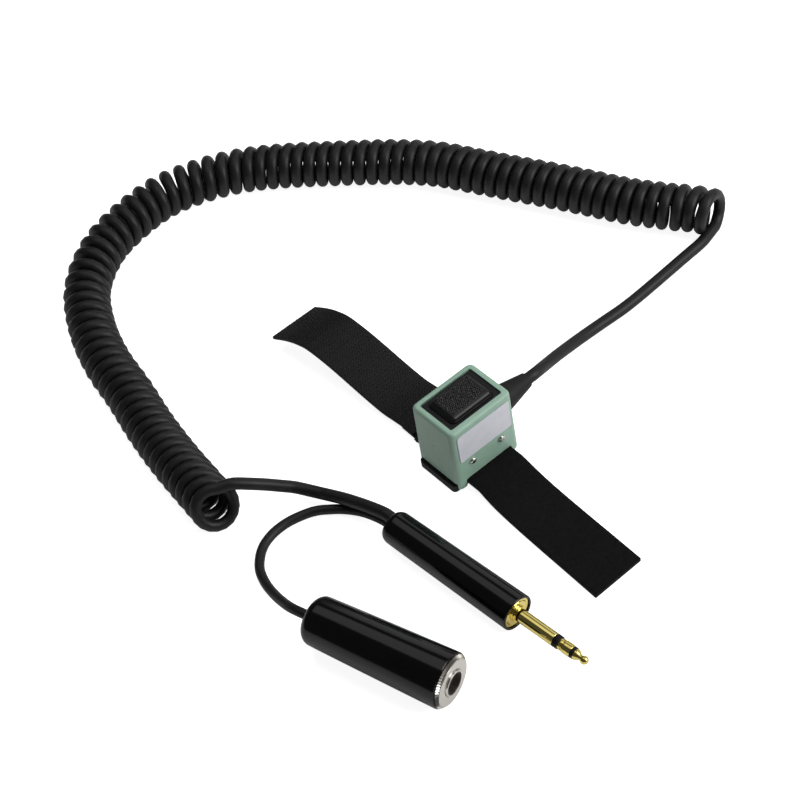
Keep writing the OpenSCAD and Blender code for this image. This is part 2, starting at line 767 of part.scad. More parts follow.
module jack_handle() {
  color(black)
    in_jack()
      turned([[0, 2.6], [0, jack_r0 - 3.4], [0.5, jack_r0 - 1.7], [1.5, jack_r0 - 0.5],
        [3.4, jack_r0], [nut_x - 0.6, jack_r1], [nut_x - 0.1, jack_r1 - 0.5], [nut_x - 0.1, 9.1],
        [nut_x - 7, 9.1], [nut_x - 7, 8], [3, 8], [3, 2.6]]);
}

module jack_cord_grip() {
  color(nickel)
    in_jack()
      turned([[0, 0], [0, 2.55], [3.05, 2.55], [3.05, 4.2], [5, 4.2], [5, 0]], 32);
}

module jack_face_nut() {
  color(nickel)
    in_jack()
      turned([[nut_x - 6.5, nut_thread], [nut_x - 6.5, 9], [nut_x, 9], [nut_x, jack_r1 - 0.1],
        [jack_len - 1.3, jack_r1 - 0.1], [jack_len - 0.2, jack_r1 - 1.2],
        [jack_len, jack_r1 - 1.5], [jack_len, nut_hole], [nut_x - 0.8, nut_hole],
        [nut_x - 0.8, nut_thread]], 96);
}

module jack_bushing() {
  face = jack_len + 0.6;
  color(nickel)
    in_jack()
      union() {
        turned([[face - 18, socket_r], [face - 18, 4.2], [nut_x - 3.4, 4.2], [nut_x - 3.4, 7],
          [nut_x - 0.85, 7], [nut_x - 0.85, 5.2], [face - 0.3, 5.2], [face, 4.95], [face, 4.3],
          [face - 1.4, socket_r]], 64);
        translate([25, -4.5, 3.4])
          difference() {
            cube([nut_x - 27.6, 9, 0.9]);
            translate([-1, 1.5, -1])
              cube([14, 6, 3]);
          }
      }
}

module jack_insulator_stack() {
  color(red_brown)
    in_jack()
      for (k = [0:2]) {
        translate([stack_x, -3.2, 4.35 + 1.15 * k])
          cube([8, 6.4, 0.7]);
      }
}

module leaf(z, reach, y) {
  wide = 2.2;
  drop = z - 2.85;
  rotate([90, 0, 0])
    translate([0, 0, y - wide / 2])
      linear_extrude(wide)
        polygon([[spring_root, z], [spring_root, z + 0.35], [reach + 6, z + 0.35],
          [reach + 2, z + 0.35 - drop],
          [reach, z + 1.2 - drop], [reach - 0.3, z + 0.95 - drop], [reach + 1.9, z - drop],
          [reach + 6.2, z]]);
}

module jack_tip_spring() {
  color(gold)
    in_jack()
      leaf(6.28, 27, -1.3);
}

module jack_ring_spring() {
  color(gold)
    in_jack()
      leaf(5.13, 32, 1.3);
}

module jack_terminals() {
  color(nickel)
    in_jack()
      for (k = [-1, 1]) {
        translate([stack_x - 23.5, k > 0 ? 0.3 : -1.7, 7.38])
          cube([31, 1.4, 0.3]);
      }
}

housing();
label_plate();
base_block();
housing_screws();
button_cap();
button_bezel();
return_springs();
switch_carrier();
switch_case();
switch_cover();
switch_plunger();
switch_blade();
switch_terminals();
lead_wires();
strain_relief();
cord_stub();
cord_clamp();
strap_loop_tape();
strap_hook_tape();
lead_cord();
coil_cord();
tail_cord();
jack_cord();
plug_handle();
plug_body();
plug_rear_insulator();
plug_ring_contact();
plug_front_insulator();
plug_tip_contact();
plug_terminals();
plug_cord_bushing();
jack_handle();
jack_face_nut();
jack_bushing();
jack_insulator_stack();
jack_tip_spring();
jack_ring_spring();
jack_terminals();
jack_cord_grip();
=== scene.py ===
import json
import math
import random

import bmesh
import bpy
from mathutils import Matrix, Vector

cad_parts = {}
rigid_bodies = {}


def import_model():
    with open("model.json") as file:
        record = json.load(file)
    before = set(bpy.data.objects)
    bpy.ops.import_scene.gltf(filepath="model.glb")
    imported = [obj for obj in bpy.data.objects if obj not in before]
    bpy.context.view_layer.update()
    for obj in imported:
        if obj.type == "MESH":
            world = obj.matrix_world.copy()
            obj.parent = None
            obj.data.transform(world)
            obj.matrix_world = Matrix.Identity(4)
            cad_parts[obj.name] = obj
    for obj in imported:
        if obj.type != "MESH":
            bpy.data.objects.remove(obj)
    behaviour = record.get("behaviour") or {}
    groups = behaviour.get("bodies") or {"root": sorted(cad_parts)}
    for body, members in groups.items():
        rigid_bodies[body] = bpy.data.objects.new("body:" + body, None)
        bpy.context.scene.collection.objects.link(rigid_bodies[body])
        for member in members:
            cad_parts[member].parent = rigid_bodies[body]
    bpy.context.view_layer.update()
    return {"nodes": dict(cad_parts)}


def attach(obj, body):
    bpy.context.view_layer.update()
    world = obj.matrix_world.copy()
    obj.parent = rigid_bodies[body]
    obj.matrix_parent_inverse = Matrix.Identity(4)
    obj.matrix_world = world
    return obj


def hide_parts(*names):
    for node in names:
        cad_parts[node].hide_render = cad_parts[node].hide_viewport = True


# Portable push-to-talk switch: box, strap, curly cord, plug and in-line jack. Metres, +Z up.

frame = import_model()
mm = 0.001
boxBody = "switch_box"
plugPlace = {"at": (-46.6, -8.9, 7.32), "turn": -85.2}
jackPlace = {"at": (-95.9, -21.7, 10.82), "turn": -73.1}


def report(words):
    print("stage:", words)


def clearPick():
    if bpy.context.mode != "OBJECT":
        bpy.ops.object.mode_set(mode="OBJECT")
    bpy.ops.object.select_all(action="DESELECT")


def pickOnly(piece):
    clearPick()
    piece.select_set(True)
    bpy.context.view_layer.objects.active = piece


cameraSetup = {
    "tilt": 48.17,  # degrees below the horizon
    "roll": 11.46,
    "turn": 32.23,  # of the view against the box's length
    "distance": 0.7654,
    "aside": 0.0225,  # the box's place on the floor, across the view and away
    "away": -0.03511,
    "lens": 85.5,
}


def placeCamera(setup):
    tilt, roll, turn = (math.radians(setup[k]) for k in ("tilt", "roll", "turn"))
    away = Vector((math.sin(turn), math.cos(turn), 0))
    aside = Vector((math.cos(turn), -math.sin(turn), 0))
    up = Vector((0, 0, 1))
    looking = away * math.cos(tilt) - up * math.sin(tilt)
    over = away * math.sin(tilt) + up * math.cos(tilt)
    right = aside * math.cos(roll) - over * math.sin(roll)
    top = aside * math.sin(roll) + over * math.cos(roll)
    place = -looking * setup["distance"] - aside * setup["aside"] - away * setup["away"]
    data = bpy.data.cameras.new("mainCamera")
    data.lens = setup["lens"]
    data.sensor_width = 36
    data.clip_start = 0.01
    data.clip_end = 20
    camera = bpy.data.objects.new("mainCamera", data)
    bpy.context.scene.collection.objects.link(camera)
    axes = Matrix((right, top, -looking)).transposed().to_4x4()
    camera.matrix_world = Matrix.Translation(place) @ axes
    bpy.context.scene.camera = camera


placeCamera(cameraSetup)
report("camera")

cordSetup = {
    "diameter": 4.95,
    "coilStrand": 5.4,
    "tightStrand": 4.75,  # where the last turns are wound closer, from tightFrom on
    "tightFrom": 66,
    "tightOver": 6, "swellOver": 1.5,  # turns
    "fill": 0.94,  # the strand against the room from one turn to the next
    "length": 4.0,  # metres
    "coilOver": 20.5,  # over the coil
    "perTurn": 18,  # points
    "blend": 0.06, "reach": 2,  # the winding is evened over these, in turns and mm
    # mm, from the strain relief over the floor to the coil
    "lead": [(32.47, 0, 16.8), (37.3, 0, 16.8), (46, 3.2, 12.6), (54, 5.5, 9.6), (63, 7.6, 6.5),
             (72, 9, 4.2), (82.5, 9.5, 2.8), (93.9, 9.1, 2.48), (104, 9.3, 2.48), (115, 9.9, 2.48),
             (126, 10.6, 2.48), (134.2, 11.1, 2.48), (140.2, 11.4, 2.48), (144.32, 11.91, 2.48),
             (149.03, 13.07, 2.48)],
    "coil": [(154.5, 12.6), (149.7, 22.7), (145, 29.7), (140.5, 37.1), (136.2, 44.5),
             (132.3, 52.4), (128.7, 60.7), (121.2, 77), (113.1, 93.4), (105.2, 109.9), (97, 126.5),
             (86.3, 141.1), (74.3, 154.4), (61.6, 167.6), (48.8, 180.4), (34.9, 191.7),
             (19.1, 200), (1.6, 204.9), (-17.7, 203.7), (-37.4, 197.5), (-55.9, 182.7),
             (-67.8, 161.9), (-74.8, 140.5), (-78.6, 119), (-83.1, 97.9), (-86.3, 77.2),
             (-88.3, 57), (-89.1, 48), (-89.6, 41.9), (-90, 37)],
    # turns wound up to each distance along the coil
    "wound": [(0, 1.8), (0.25, 2.1), (0.5, 4.1), (1, 7.2), (2, 13.4), (11, 62.1), (21, 118.4),
              (31, 175.6), (38, 215.6), (44, 254), (47, 273.2), (51, 300.5), (54, 321.2),
              (58, 346.2), (62, 370.8), (66, 395.1), (70, 416.8), (73, 432), (76, 448.3),
              (78.5, 462.7)],
    # the last turns lean back and aside, more from one to the next
    "leanFrom": 66, "leanBack": 8.2, "leanSide": 3.2,
    "tail": [(-84.73, 45.76, 17.95), (-80.38, 43.66, 17.95), (-74.3, 40.4, 15), (-69.7, 38.5, 12),
             (-64.9, 35.9, 9), (-60.7, 33.2, 6.6), (-57.1, 28.6, 5.2), (-54.6, 24.2, 4.9),
             (-53.6, 21.6, 5.4), (-51, 14.7, 6.6), (-49.3, 9.3, 7.5), (-47.8, 3.8, 8.4),
             (-46.01, -3.96, 9.47), (-45.6, -8.8, 9.47)],
}
jackLeadSetup = {
    "diameter": 3.9,
    "length": 0.112,
    "route": [(-46.0, -8.83, 4.92), (-46.34, -4.84, 4.92), (-47.1, 0.7, 4), (-48.6, 6.8, 2.9),
              (-51.1, 11.8, 2.3), (-53.9, 15.4, 2.2), (-56.6, 18.1, 2.1), (-59.5, 20.6, 2.1),
              (-63, 22.6, 2.1), (-68, 24.3, 2.1), (-72.7, 25.2, 2.1), (-77.6, 25.2, 2.1),
              (-81.8, 24.4, 2.1), (-85.6, 22.8, 2.1), (-89.3, 20, 2.1), (-93.2, 15.2, 2.1),
              (-95.6, 8.6, 2.5), (-96.9, 1.5, 4), (-97.7, -5.5, 6.6), (-98, -12, 9.4),
              (-97.2, -17.4, 10.82), (-95.9, -21.68, 10.82)],
}


def smoothLine(points, steps):
    made = []
    last = len(points) - 1
    for i in range(last):
        b, c = points[i], points[i + 1]
        a = points[i - 1] if i else 2 * b - c
        d = points[i + 2] if i + 2 <= last else 2 * c - b
        for k in range(steps):
            t = k / steps
            made.append(0.5 * (2 * b + (c - a) * t + (2 * a - 5 * b + 4 * c - d) * t * t
                               + (3 * b - a - 3 * c + d) * t ** 3))
    made.append(points[last])
    return made


def lineLengths(points):
    run = [0.0]
    for a, b in zip(points, points[1:]):
        run.append(run[-1] + (b - a).length)
    return run


def placeAlong(points, run, s):
    s = min(max(s, 0), run[-1])
    low = 0
    high = len(run) - 1
    while high - low > 1:
        mid = (low + high) // 2
        if run[mid] <= s:
            low = mid
        else:
            high = mid
    t = (s - run[low]) / max(run[high] - run[low], 1e-12)
    return points[low].lerp(points[high], t)


def readTable(table, q):
    for (a, low), (b, high) in zip(table, table[1:]):
        if q <= b:
            return low + (high - low) * (q - a) / (b - a)
    return table[-1][1]


def coilLine(setup):
    centre = smoothLine([Vector((x, y, setup["coilOver"] / 2)) for x, y in setup["coil"]], 6)
    run = lineLengths(centre)
    made = []
    for i in range(int(setup["wound"][-1][0] * setup["perTurn"]) + 1):
        turn = i / setup["perTurn"]
        nearby = (turn - setup["blend"], turn, turn + setup["blend"])
        part = max(0, turn - setup["leanFrom"]) / (setup["wound"][-1][0] - setup["leanFrom"])
        lean = (setup["leanBack"] * math.cos(2 * math.pi * turn)
                - setup["leanSide"] * math.sin(2 * math.pi * turn)) / 2
        s = sum(readTable(setup["wound"], max(0, q)) for q in nearby) / 3 + part ** 2 * lean
        here = placeAlong(centre, run, s)
        ahead = (placeAlong(centre, run, s + setup["reach"])
                 - placeAlong(centre, run, s - setup["reach"]))
        ahead.normalize()
        leftward = Vector((-ahead.y, ahead.x, 0))
        angle = math.radians(270 - 360 * turn)
        outward = math.cos(angle) * leftward + Vector((0, 0, math.sin(angle)))
        made.append((here + (setup["coilOver"] - strandWidth(turn)) / 2 * outward, turn))
    return made


def cordPiece(name, points, thick):
    # points in mm, thick gives the cord's diameter at each of them
    data = bpy.data.curves.new(name, "CURVE")
    data.dimensions = "3D"
    data.bevel_depth = mm
    data.bevel_resolution = 6
    data.use_fill_caps = True
    line = data.splines.new("POLY")
    line.points.add(len(points) - 1)
    for spot, place, width in zip(line.points, points, thick):
        spot.co = (*(place * mm), 1)
        spot.radius = width / 2
    line.use_smooth = True
    piece = bpy.data.objects.new(name, data)
    bpy.context.scene.collection.objects.link(piece)
    pickOnly(piece)
    bpy.ops.object.convert(target="MESH")
    return bpy.context.object


def strandWidth(turn):
    # the strand swells a little where it was wound hot, and the turns nearly touch
    table = cordSetup["wound"]
    pitch = readTable(table, turn + 0.5) - readTable(table, max(turn - 0.5, 0))
    wide = min(max(cordSetup["fill"] * pitch, cordSetup["diameter"]), cordSetup["coilStrand"])
    part = min(max(turn - cordSetup["tightFrom"], 0) / cordSetup["tightOver"], 1)
    ends = min(turn / cordSetup["swellOver"], 1)
    wide = cordSetup["diameter"] + (wide - cordSetup["diameter"]) * ends
    return wide + (cordSetup["tightStrand"] - wide) * part


coiled = coilLine(cordSetup)
leadControl = [Vector(p) for p in cordSetup["lead"]] + [coiled[0][0]]
tailControl = [coiled[-1][0]] + [Vector(p) for p in cordSetup["tail"]]
leadLine = smoothLine(leadControl, 4)[:-1]
tailLine = smoothLine(tailControl, 4)[1:]
curlyPoints = leadLine + [p for p, turn in coiled] + tailLine
curlyThick = ([cordSetup["diameter"]] * len(leadLine) + [strandWidth(turn) for p, turn in coiled]
              + [cordSetup["diameter"]] * len(tailLine))
jackPoints = smoothLine([Vector(p) for p in jackLeadSetup["route"]], 4)
curlyCord = cordPiece("curlyCord", curlyPoints, curlyThick)
jackLead = cordPiece("jackLead", jackPoints, [jackLeadSetup["diameter"]] * len(jackPoints))
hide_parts("lead_cord", "coil_cord", "tail_cord")
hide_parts("jack_cord")
for piece in (curlyCord, jackLead):
    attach(piece, boxBody)
report("cords")


def startEdit(piece):
    pickOnly(piece)
    bpy.ops.object.mode_set(mode="EDIT")
    bpy.context.tool_settings.mesh_select_mode = (True, False, False)


def endEdit():
    bpy.ops.object.mode_set(mode="OBJECT")


def pickParts(piece, kind, test):
    # selects only those verts, edges or faces of the piece being edited that pass the test
    bpy.ops.mesh.select_all(action="DESELECT")
    bpy.context.tool_settings.mesh_select_mode = [kind == k for k in ("verts", "edges", "faces")]
    shape = bmesh.from_edit_mesh(piece.data)
    for part in getattr(shape, kind):
        if test(part):
            part.select_set(True)
    bmesh.update_edit_mesh(piece.data)


def roundPicked(piece, test, size, segments):
    # mm; rounds the edges that pass the test
    pickParts(piece, "edges", test)
    bpy.ops.mesh.bevel(offset=size * mm, segments=segments, affect="EDGES")


def leanIn(lean, halfX, halfY, z):
    # mm; what is picked at this height narrows by the lean at each side
    bpy.ops.transform.resize(value=(1 - lean / halfX, 1 - lean / halfY, 1),
                             center_override=(0, 0, z * mm))


def applyAll(piece):
    pickOnly(piece)
    for modifier in list(piece.modifiers):
        bpy.ops.object.modifier_apply(modifier=modifier.name)


def settle(piece):
    # the place, turn and size go into the mesh
    pickOnly(piece)
    bpy.ops.object.transform_apply(location=True, rotation=True, scale=True)


def moveBy(piece, x, y=0, z=0):
    piece.location = (x * mm, y * mm, z * mm)
    settle(piece)


def layAt(piece, place):
    piece.location = Vector(place["at"]) * mm
    piece.rotation_euler = (0, 0, math.radians(place["turn"]))
    settle(piece)


def smoothShade(piece, angle=35):
    pickOnly(piece)
    bpy.ops.object.shade_smooth_by_angle(angle=math.radians(angle))


def shadeAll(piece):
    clearPick()
    piece.select_set(True)
    bpy.ops.object.shade_smooth()


def evenNormals(piece):
    # keeps large flat faces flat beside their rounded edges
    step = piece.modifiers.new("evenNormals", "WEIGHTED_NORMAL")
    step.keep_sharp = True
    step.weight = 80
    applyAll(piece)


def finishFaces(piece, angle=40):
    smoothShade(piece, angle)
    evenNormals(piece)
    return piece


def joinPieces(main, others):
    clearPick()
    for piece in others:
        piece.select_set(True)
    main.select_set(True)
    bpy.context.view_layer.objects.active = main
    bpy.ops.object.join()
    return main


def combine(piece, others, operation):
    for other in others:
        step = piece.modifiers.new("combine", "BOOLEAN")
        step.operation = operation
        step.solver = "EXACT"
        step.object = other
        applyAll(piece)
        bpy.data.objects.remove(other)


def cutAway(piece, *others):
    combine(piece, others, "DIFFERENCE")


def addOn(piece, *others):
    combine(piece, others, "UNION")


def softEdges(piece, width, segments=2, angle=50):
    step = piece.modifiers.new("softEdges", "BEVEL")
    step.width = width * mm
    step.segments = segments
    step.limit_method = "ANGLE"
    step.angle_limit = math.radians(angle)
    step.use_clamp_overlap = True
    applyAll(piece)


def isUpright(edge):
    a, b = (v.co for v in edge.verts)
    return abs(a.z - b.z) > 4 * (a.xy - b.xy).length


def roundedBlock(name, halfX, halfY, low, high, corner=0, steps=6):
    # mm; a block whose upright edges are rounded
    clearPick()
    bpy.ops.mesh.primitive_cube_add(size=1, location=(0, 0, (low + high) / 2 * mm))
    piece = bpy.context.object
    piece.name = name
    piece.scale = (2 * halfX * mm, 2 * halfY * mm, (high - low) * mm)
    settle(piece)
    if corner:
        startEdit(piece)
        roundPicked(piece, isUpright, corner, steps)
        endEdit()
    return piece


def roundBar(name, radius, start, reach, axis="z", sides=32):
    # mm; a plain round cutter or shank that starts at a point and runs along an axis
    clearPick()
    turn = {"x": (0, math.pi / 2, 0), "y": (math.pi / 2, 0, 0), "z": (0, 0, 0)}[axis]
    way = {"x": Vector((1, 0, 0)), "y": Vector((0, 1, 0)), "z": Vector((0, 0, 1))}[axis]
    middle = (Vector(start) + way * reach / 2) * mm
    bpy.ops.mesh.primitive_cylinder_add(vertices=sides, radius=radius * mm, depth=abs(reach) * mm,
                                        location=middle, rotation=turn)
    piece = bpy.context.object
    piece.name = name
    settle(piece)
    return piece


def turnedPiece(name, profile, place=None, steps=96, height=0):
    # profile of (distance, radius) in mm, spun round X and laid at its place
    clearPick()
    bpy.ops.mesh.primitive_plane_add(size=mm, location=(0, 0, 0))
    piece = bpy.context.object
    piece.name = name
    startEdit(piece)
    bpy.ops.mesh.select_all(action="SELECT")
    bpy.ops.mesh.merge(type="CENTER")
    bpy.ops.transform.translate(value=(profile[0][0] * mm, 0, profile[0][1] * mm))
    for (x0, r0), (x1, r1) in zip(profile, profile[1:]):
        bpy.ops.mesh.extrude_region_move(
            TRANSFORM_OT_translate={"value": ((x1 - x0) * mm, 0, (r1 - r0) * mm)})
    bpy.ops.mesh.select_all(action="SELECT")
    bpy.ops.mesh.spin(steps=steps, angle=2 * math.pi, center=(0, 0, 0), axis=(1, 0, 0))
    bpy.ops.mesh.select_all(action="SELECT")
    bpy.ops.mesh.remove_doubles(threshold=2e-6)
    bpy.ops.mesh.normals_make_consistent(inside=False)
    endEdit()
    if place:
        layAt(piece, place)
    else:
        moveBy(piece, 0, 0, height)
    smoothShade(piece)
    return piece


def copyOver(name, unit, places):
    # one mesh of all the copies of a small unit
    whole = bmesh.new()
    for matrix in places:
        copy = unit.data.copy()
        copy.transform(matrix)
        whole.from_mesh(copy)
        bpy.data.meshes.remove(copy)
    data = bpy.data.meshes.new(name)
    whole.to_mesh(data)
    whole.free()
    piece = bpy.data.objects.new(name, data)
    bpy.context.scene.collection.objects.link(piece)
    bpy.data.objects.remove(unit)
    return piece


def fit(piece, body, slotName, *nodes):
    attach(piece, body)
    if nodes:
        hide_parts(*nodes)


housingSetup = {
    "halfLength": 15.8, "halfWidth": 12, "top": 33, "foot": 1, "lean": 0.3,
    "corner": 2.6, "topEdge": 1.5, "footEdge": 0.8,
    "insideX": 13.8, "insideY": 10.6, "rimUnder": 30,
    "openX": 12.9, "openY": 9.1, "openCorner": 0.8,
    "tunnelHalf": 11.7, "tunnelTop": 5.2, "tunnelCorner": 0.9,
    "recessY": 10.8, "recessTop": 4.4,
    "screwX": 7.4, "screwZ": 13.1, "holeRadius": 1.2, "outletZ": 16.8, "outletRadius": 3.6,
    "markOut": 0.6, "markY": 0.3, "markZ": 18.9, "markRadius": 1,  # the moulding's gate mark
    "soft": 0.22,
}


def makeHousing(s):
    piece = roundedBlock("mintHousing", s["halfLength"], s["halfWidth"], s["foot"], s["top"])
    startEdit(piece)
    topZ = s["top"] * mm
    pickParts(piece, "verts", lambda v: v.co.z > topZ - 1e-5)
    leanIn(s["lean"], s["halfLength"], s["halfWidth"], s["top"])
    roundPicked(piece, isUpright, s["corner"], 8)
    roundPicked(piece, lambda e: all(v.co.z > topZ - 1e-5 for v in e.verts), s["topEdge"], 6)
    footZ = s["foot"] * mm
    roundPicked(piece, lambda e: all(v.co.z < footZ + 1e-5 for v in e.verts), s["footEdge"], 4)
    endEdit()
    cavity = roundedBlock("cavity", s["insideX"], s["insideY"], -1, s["rimUnder"], 1, 4)
    opening = roundedBlock("opening", s["openX"], s["openY"], s["rimUnder"] - 1, s["top"] + 1,
                           s["openCorner"], 8)
    tunnel = roundedBlock("tunnel", s["tunnelHalf"], s["halfWidth"] + 1, -1, s["tunnelTop"])
    startEdit(tunnel)
    high = s["tunnelTop"] * mm
    roundPicked(tunnel, lambda e: all(v.co.z > high - 1e-5 for v in e.verts)
                and abs(e.verts[0].co.y - e.verts[1].co.y) > 0.01, s["tunnelCorner"], 5)
    endEdit()
    recess = roundedBlock("recess", s["halfLength"] + 1, s["recessY"], -1, s["recessTop"])
    outlet = roundBar("outlet", s["outletRadius"], (s["insideX"] - 2, 0, s["outletZ"]), 6, "x", 48)
    holes = [roundBar("hole", s["holeRadius"], (x * s["screwX"], -s["halfWidth"] - 1, s["screwZ"]),
                      2 * s["halfWidth"] + 2, "y", 24) for x in (-1, 1)]
    clearPick()
    bpy.ops.mesh.primitive_uv_sphere_add(segments=24, ring_count=12, radius=s["markRadius"] * mm)
    gateMark = bpy.context.object
    moveBy(gateMark, -(s["halfLength"] + s["markOut"]), s["markY"], s["markZ"])
    cutAway(piece, cavity, opening, tunnel, recess, outlet, *holes, gateMark)
    softEdges(piece, s["soft"], 2, 55)
    return finishFaces(piece)


mintHousing = makeHousing(housingSetup)
fit(mintHousing, boxBody, "mint_plastic", "housing")
report("housing")

baseSetup = {
    "plateFrom": -17, "plateTo": 15.5, "plateY": 10.4, "plateTop": 3.3, "plateCorner": 1.6,
    "bridgeX": 13.5, "bridgeY": 10.2, "bridgeTop": 7.2,
    "tunnelX": 11.7, "tunnelLow": 2.6, "tunnelHigh": 5.2, "pastY": 13, "soft": 0.3,
    "postX": 7.4, "postHalf": 2.6, "postFrom": 7, "postTop": 20.35, "screwZ": 13.1,
    "boreRadius": 1.05,
}


def makeBase(s):
    piece = roundedBlock("baseBlock", (s["plateTo"] - s["plateFrom"]) / 2, s["plateY"], 0,
                         s["plateTop"], s["plateCorner"])
    moveBy(piece, (s["plateTo"] + s["plateFrom"]) / 2)
    addOn(piece, roundedBlock("bridge", s["bridgeX"], s["bridgeY"], s["plateTop"] - 0.5,
                              s["bridgeTop"], 0.8))
    for x in (-1, 1):
        for y in (-1, 1):
            post = roundedBlock("post", s["postHalf"], (s["bridgeY"] - s["postFrom"]) / 2,
                                s["bridgeTop"] - 0.4, s["postTop"], 0.5, 3)
            moveBy(post, x * s["postX"], y * (s["bridgeY"] + s["postFrom"]) / 2)
            addOn(piece, post)
    tunnel = roundedBlock("tunnel", s["tunnelX"], s["pastY"], s["tunnelLow"], s["tunnelHigh"])
    bores = [roundBar("bore", s["boreRadius"], (x * s["postX"], -s["pastY"], s["screwZ"]),
                      2 * s["pastY"], "y", 24) for x in (-1, 1)]
    cutAway(piece, tunnel, *bores)
    softEdges(piece, s["soft"], 3, 50)
    return finishFaces(piece)


baseBlock = makeBase(baseSetup)
fit(baseBlock, boxBody, "black_plastic", "base_block")
report("base")

buttonSetup = {
    "halfX": 10.4, "halfY": 7.3, "corner": 1.9, "foot": 29.9, "ledgeZ": 32.9, "top": 34.8,
    "ledge": 0.35, "padLean": 0.1, "rimZ": 34.1, "rimEdge": 0.8, "slope": 1.5, "padTop": 0.25,
    "pegX": 7.2, "pegRadius": 0.9, "bossRadius": 2, "ledgeEdge": 0.16,
    "skirtX": 11.3, "skirtY": 7.9, "skirtHigh": 30.9,
    "roomX": 9, "roomY": 6, "roof": 32.8, "bossLow": 29.8,
    "pebbleGap": 0.85, "pebbleRow": 0.87, "pebbleSize": (0.3, 0.46), "pebbleHigh": (0.22, 0.36),
    "pebbleShift": (0.16, 0.14), "pebbleEdge": 0.35, "pebbleCorner": 0.7,
}


def makeButton(s):
    piece = roundedBlock("buttonCap", s["halfX"], s["halfY"], s["foot"], s["ledgeZ"], s["corner"])
    startEdit(piece)
    ledgeZ = s["ledgeZ"] * mm
    pickParts(piece, "faces", lambda f: f.normal.z > 0.9)
    bpy.ops.mesh.inset(thickness=s["ledge"] * mm, depth=0)
    rimZ, topZ = s["rimZ"] * mm, s["top"] * mm
    bpy.ops.mesh.extrude_region_move(TRANSFORM_OT_translate={"value": (0, 0, rimZ - ledgeZ)})
    leanIn(s["padLean"], s["halfX"] - s["ledge"], s["halfY"] - s["ledge"], s["rimZ"])
    # a broad slope inside the upper edge, up to the flat middle
    bpy.ops.mesh.inset(thickness=s["slope"] * mm, depth=topZ - rimZ)
    roundPicked(piece, lambda e: all(v.co.z > topZ - 1e-5 for v in e.verts), s["padTop"], 3)
    roundPicked(piece, lambda e: all(abs(v.co.z - rimZ) < 1e-5 for v in e.verts), s["rimEdge"], 5)

    def isLedge(edge):
        flat = [abs(f.normal.z) for f in edge.link_faces]
        highest = max(f.calc_center_median().z for f in edge.link_faces)
        return (all(abs(v.co.z - ledgeZ) < 1e-5 for v in edge.verts)
                and max(flat) > 0.9 and min(flat) < 0.3 and highest < ledgeZ + 1e-5)

    roundPicked(piece, isLedge, s["ledgeEdge"], 3)
    endEdit()
    addOn(piece, roundedBlock("skirt", s["skirtX"], s["skirtY"], s["foot"], s["skirtHigh"], 1.2))
    cutAway(piece, roundedBlock("room", s["roomX"], s["roomY"], s["foot"] - 1, s["roof"], 0.8, 3))
    boss = roundBar("boss", s["bossRadius"], (0, 0, s["bossLow"]), s["roof"] - s["bossLow"] + 0.3)
    pegs = [roundBar("peg", s["pegRadius"], (x, 0, s["roof"] - 2), 2.3, "z", 24)
            for x in (-s["pegX"], s["pegX"])]
    joinPieces(piece, [boss, *pegs])
    return finishFaces(piece, 35)


def makePebbles(s):
    clearPick()
    bpy.ops.mesh.primitive_ico_sphere_add(subdivisions=2, radius=1)
    unit = bpy.context.object
    startEdit(unit)
    bpy.ops.mesh.select_all(action="SELECT")
    bpy.ops.mesh.bisect(plane_co=(0, 0, -0.25), plane_no=(0, 0, 1), clear_inner=True,
                        use_fill=True)
    endEdit()
    shadeAll(unit)
    dice = random.Random(7)
    border = s["ledge"] + s["padLean"] + s["slope"] + s["pebbleEdge"]
    reachX, reachY = s["halfX"] - border, s["halfY"] - border
    places = []
    gap = s["pebbleGap"]
    rows = int(2 * reachY / (gap * s["pebbleRow"]))
    for j in range(rows + 1):
        y = -reachY + 2 * reachY * j / rows
        count = int(2 * reachX / gap)
        for i in range(count + 1):
            x = -reachX + 2 * reachX * (i + 0.5 * (j % 2)) / count
            shiftX, shiftY = (dice.uniform(-size, size) for size in s["pebbleShift"])
            x += shiftX
            if abs(x) > reachX or (reachX - abs(x)) + (reachY - abs(y)) < s["pebbleCorner"]:
                continue
            wide = dice.uniform(*s["pebbleSize"])
            size = Matrix.Diagonal((wide * mm, wide * dice.uniform(0.75, 1.25) * mm,
                                    dice.uniform(*s["pebbleHigh"]) * mm, 1))
            spot = Matrix.Translation((x * mm, (y + shiftY) * mm, s["top"] * mm))
            places.append(spot @ Matrix.Rotation(dice.uniform(0, 3.1), 4, "Z") @ size)
    return copyOver("buttonPebbles", unit, places)


buttonCap = makeButton(buttonSetup)
fit(buttonCap, "button", "textured_black", "button_cap")
buttonPebbles = makePebbles(buttonSetup)
fit(buttonPebbles, "button", "textured_black")

bezelSetup = {
    "outerX": 12.6, "outerY": 8.8, "corner": 0.75, "top": 32.4, "low": 29.4,
    "lipX": 13.15, "lipY": 9.5, "lipLow": 28.9, "lipHigh": 29.9,
    "holeX": 10.6, "holeY": 7.5, "wellX": 11.6, "wellY": 8.2, "wellTop": 31.2, "soft": 0.25,
}


def makeBezel(s):
    piece = roundedBlock("buttonBezel", s["outerX"], s["outerY"], s["low"], s["top"], s["corner"])
    addOn(piece, roundedBlock("lip", s["lipX"], s["lipY"], s["lipLow"], s["lipHigh"], 1, 4))
    cutAway(piece, roundedBlock("hole", s["holeX"], s["holeY"], s["lipLow"] - 1, s["top"] + 1, 2),
            roundedBlock("well", s["wellX"], s["wellY"], s["lipLow"] - 1, s["wellTop"], 1.4))
    softEdges(piece, s["soft"], 2, 50)
    return finishFaces(piece)


buttonBezel = makeBezel(bezelSetup)
fit(buttonBezel, boxBody, "black_plastic", "button_bezel")
report("button and bezel")

screwSetup = {"head": 1.5, "high": 1.15, "shank": 1, "x": 7.4, "z": 13.1, "faceY": 11.92,
              "slot": (0.2, 0.85)}


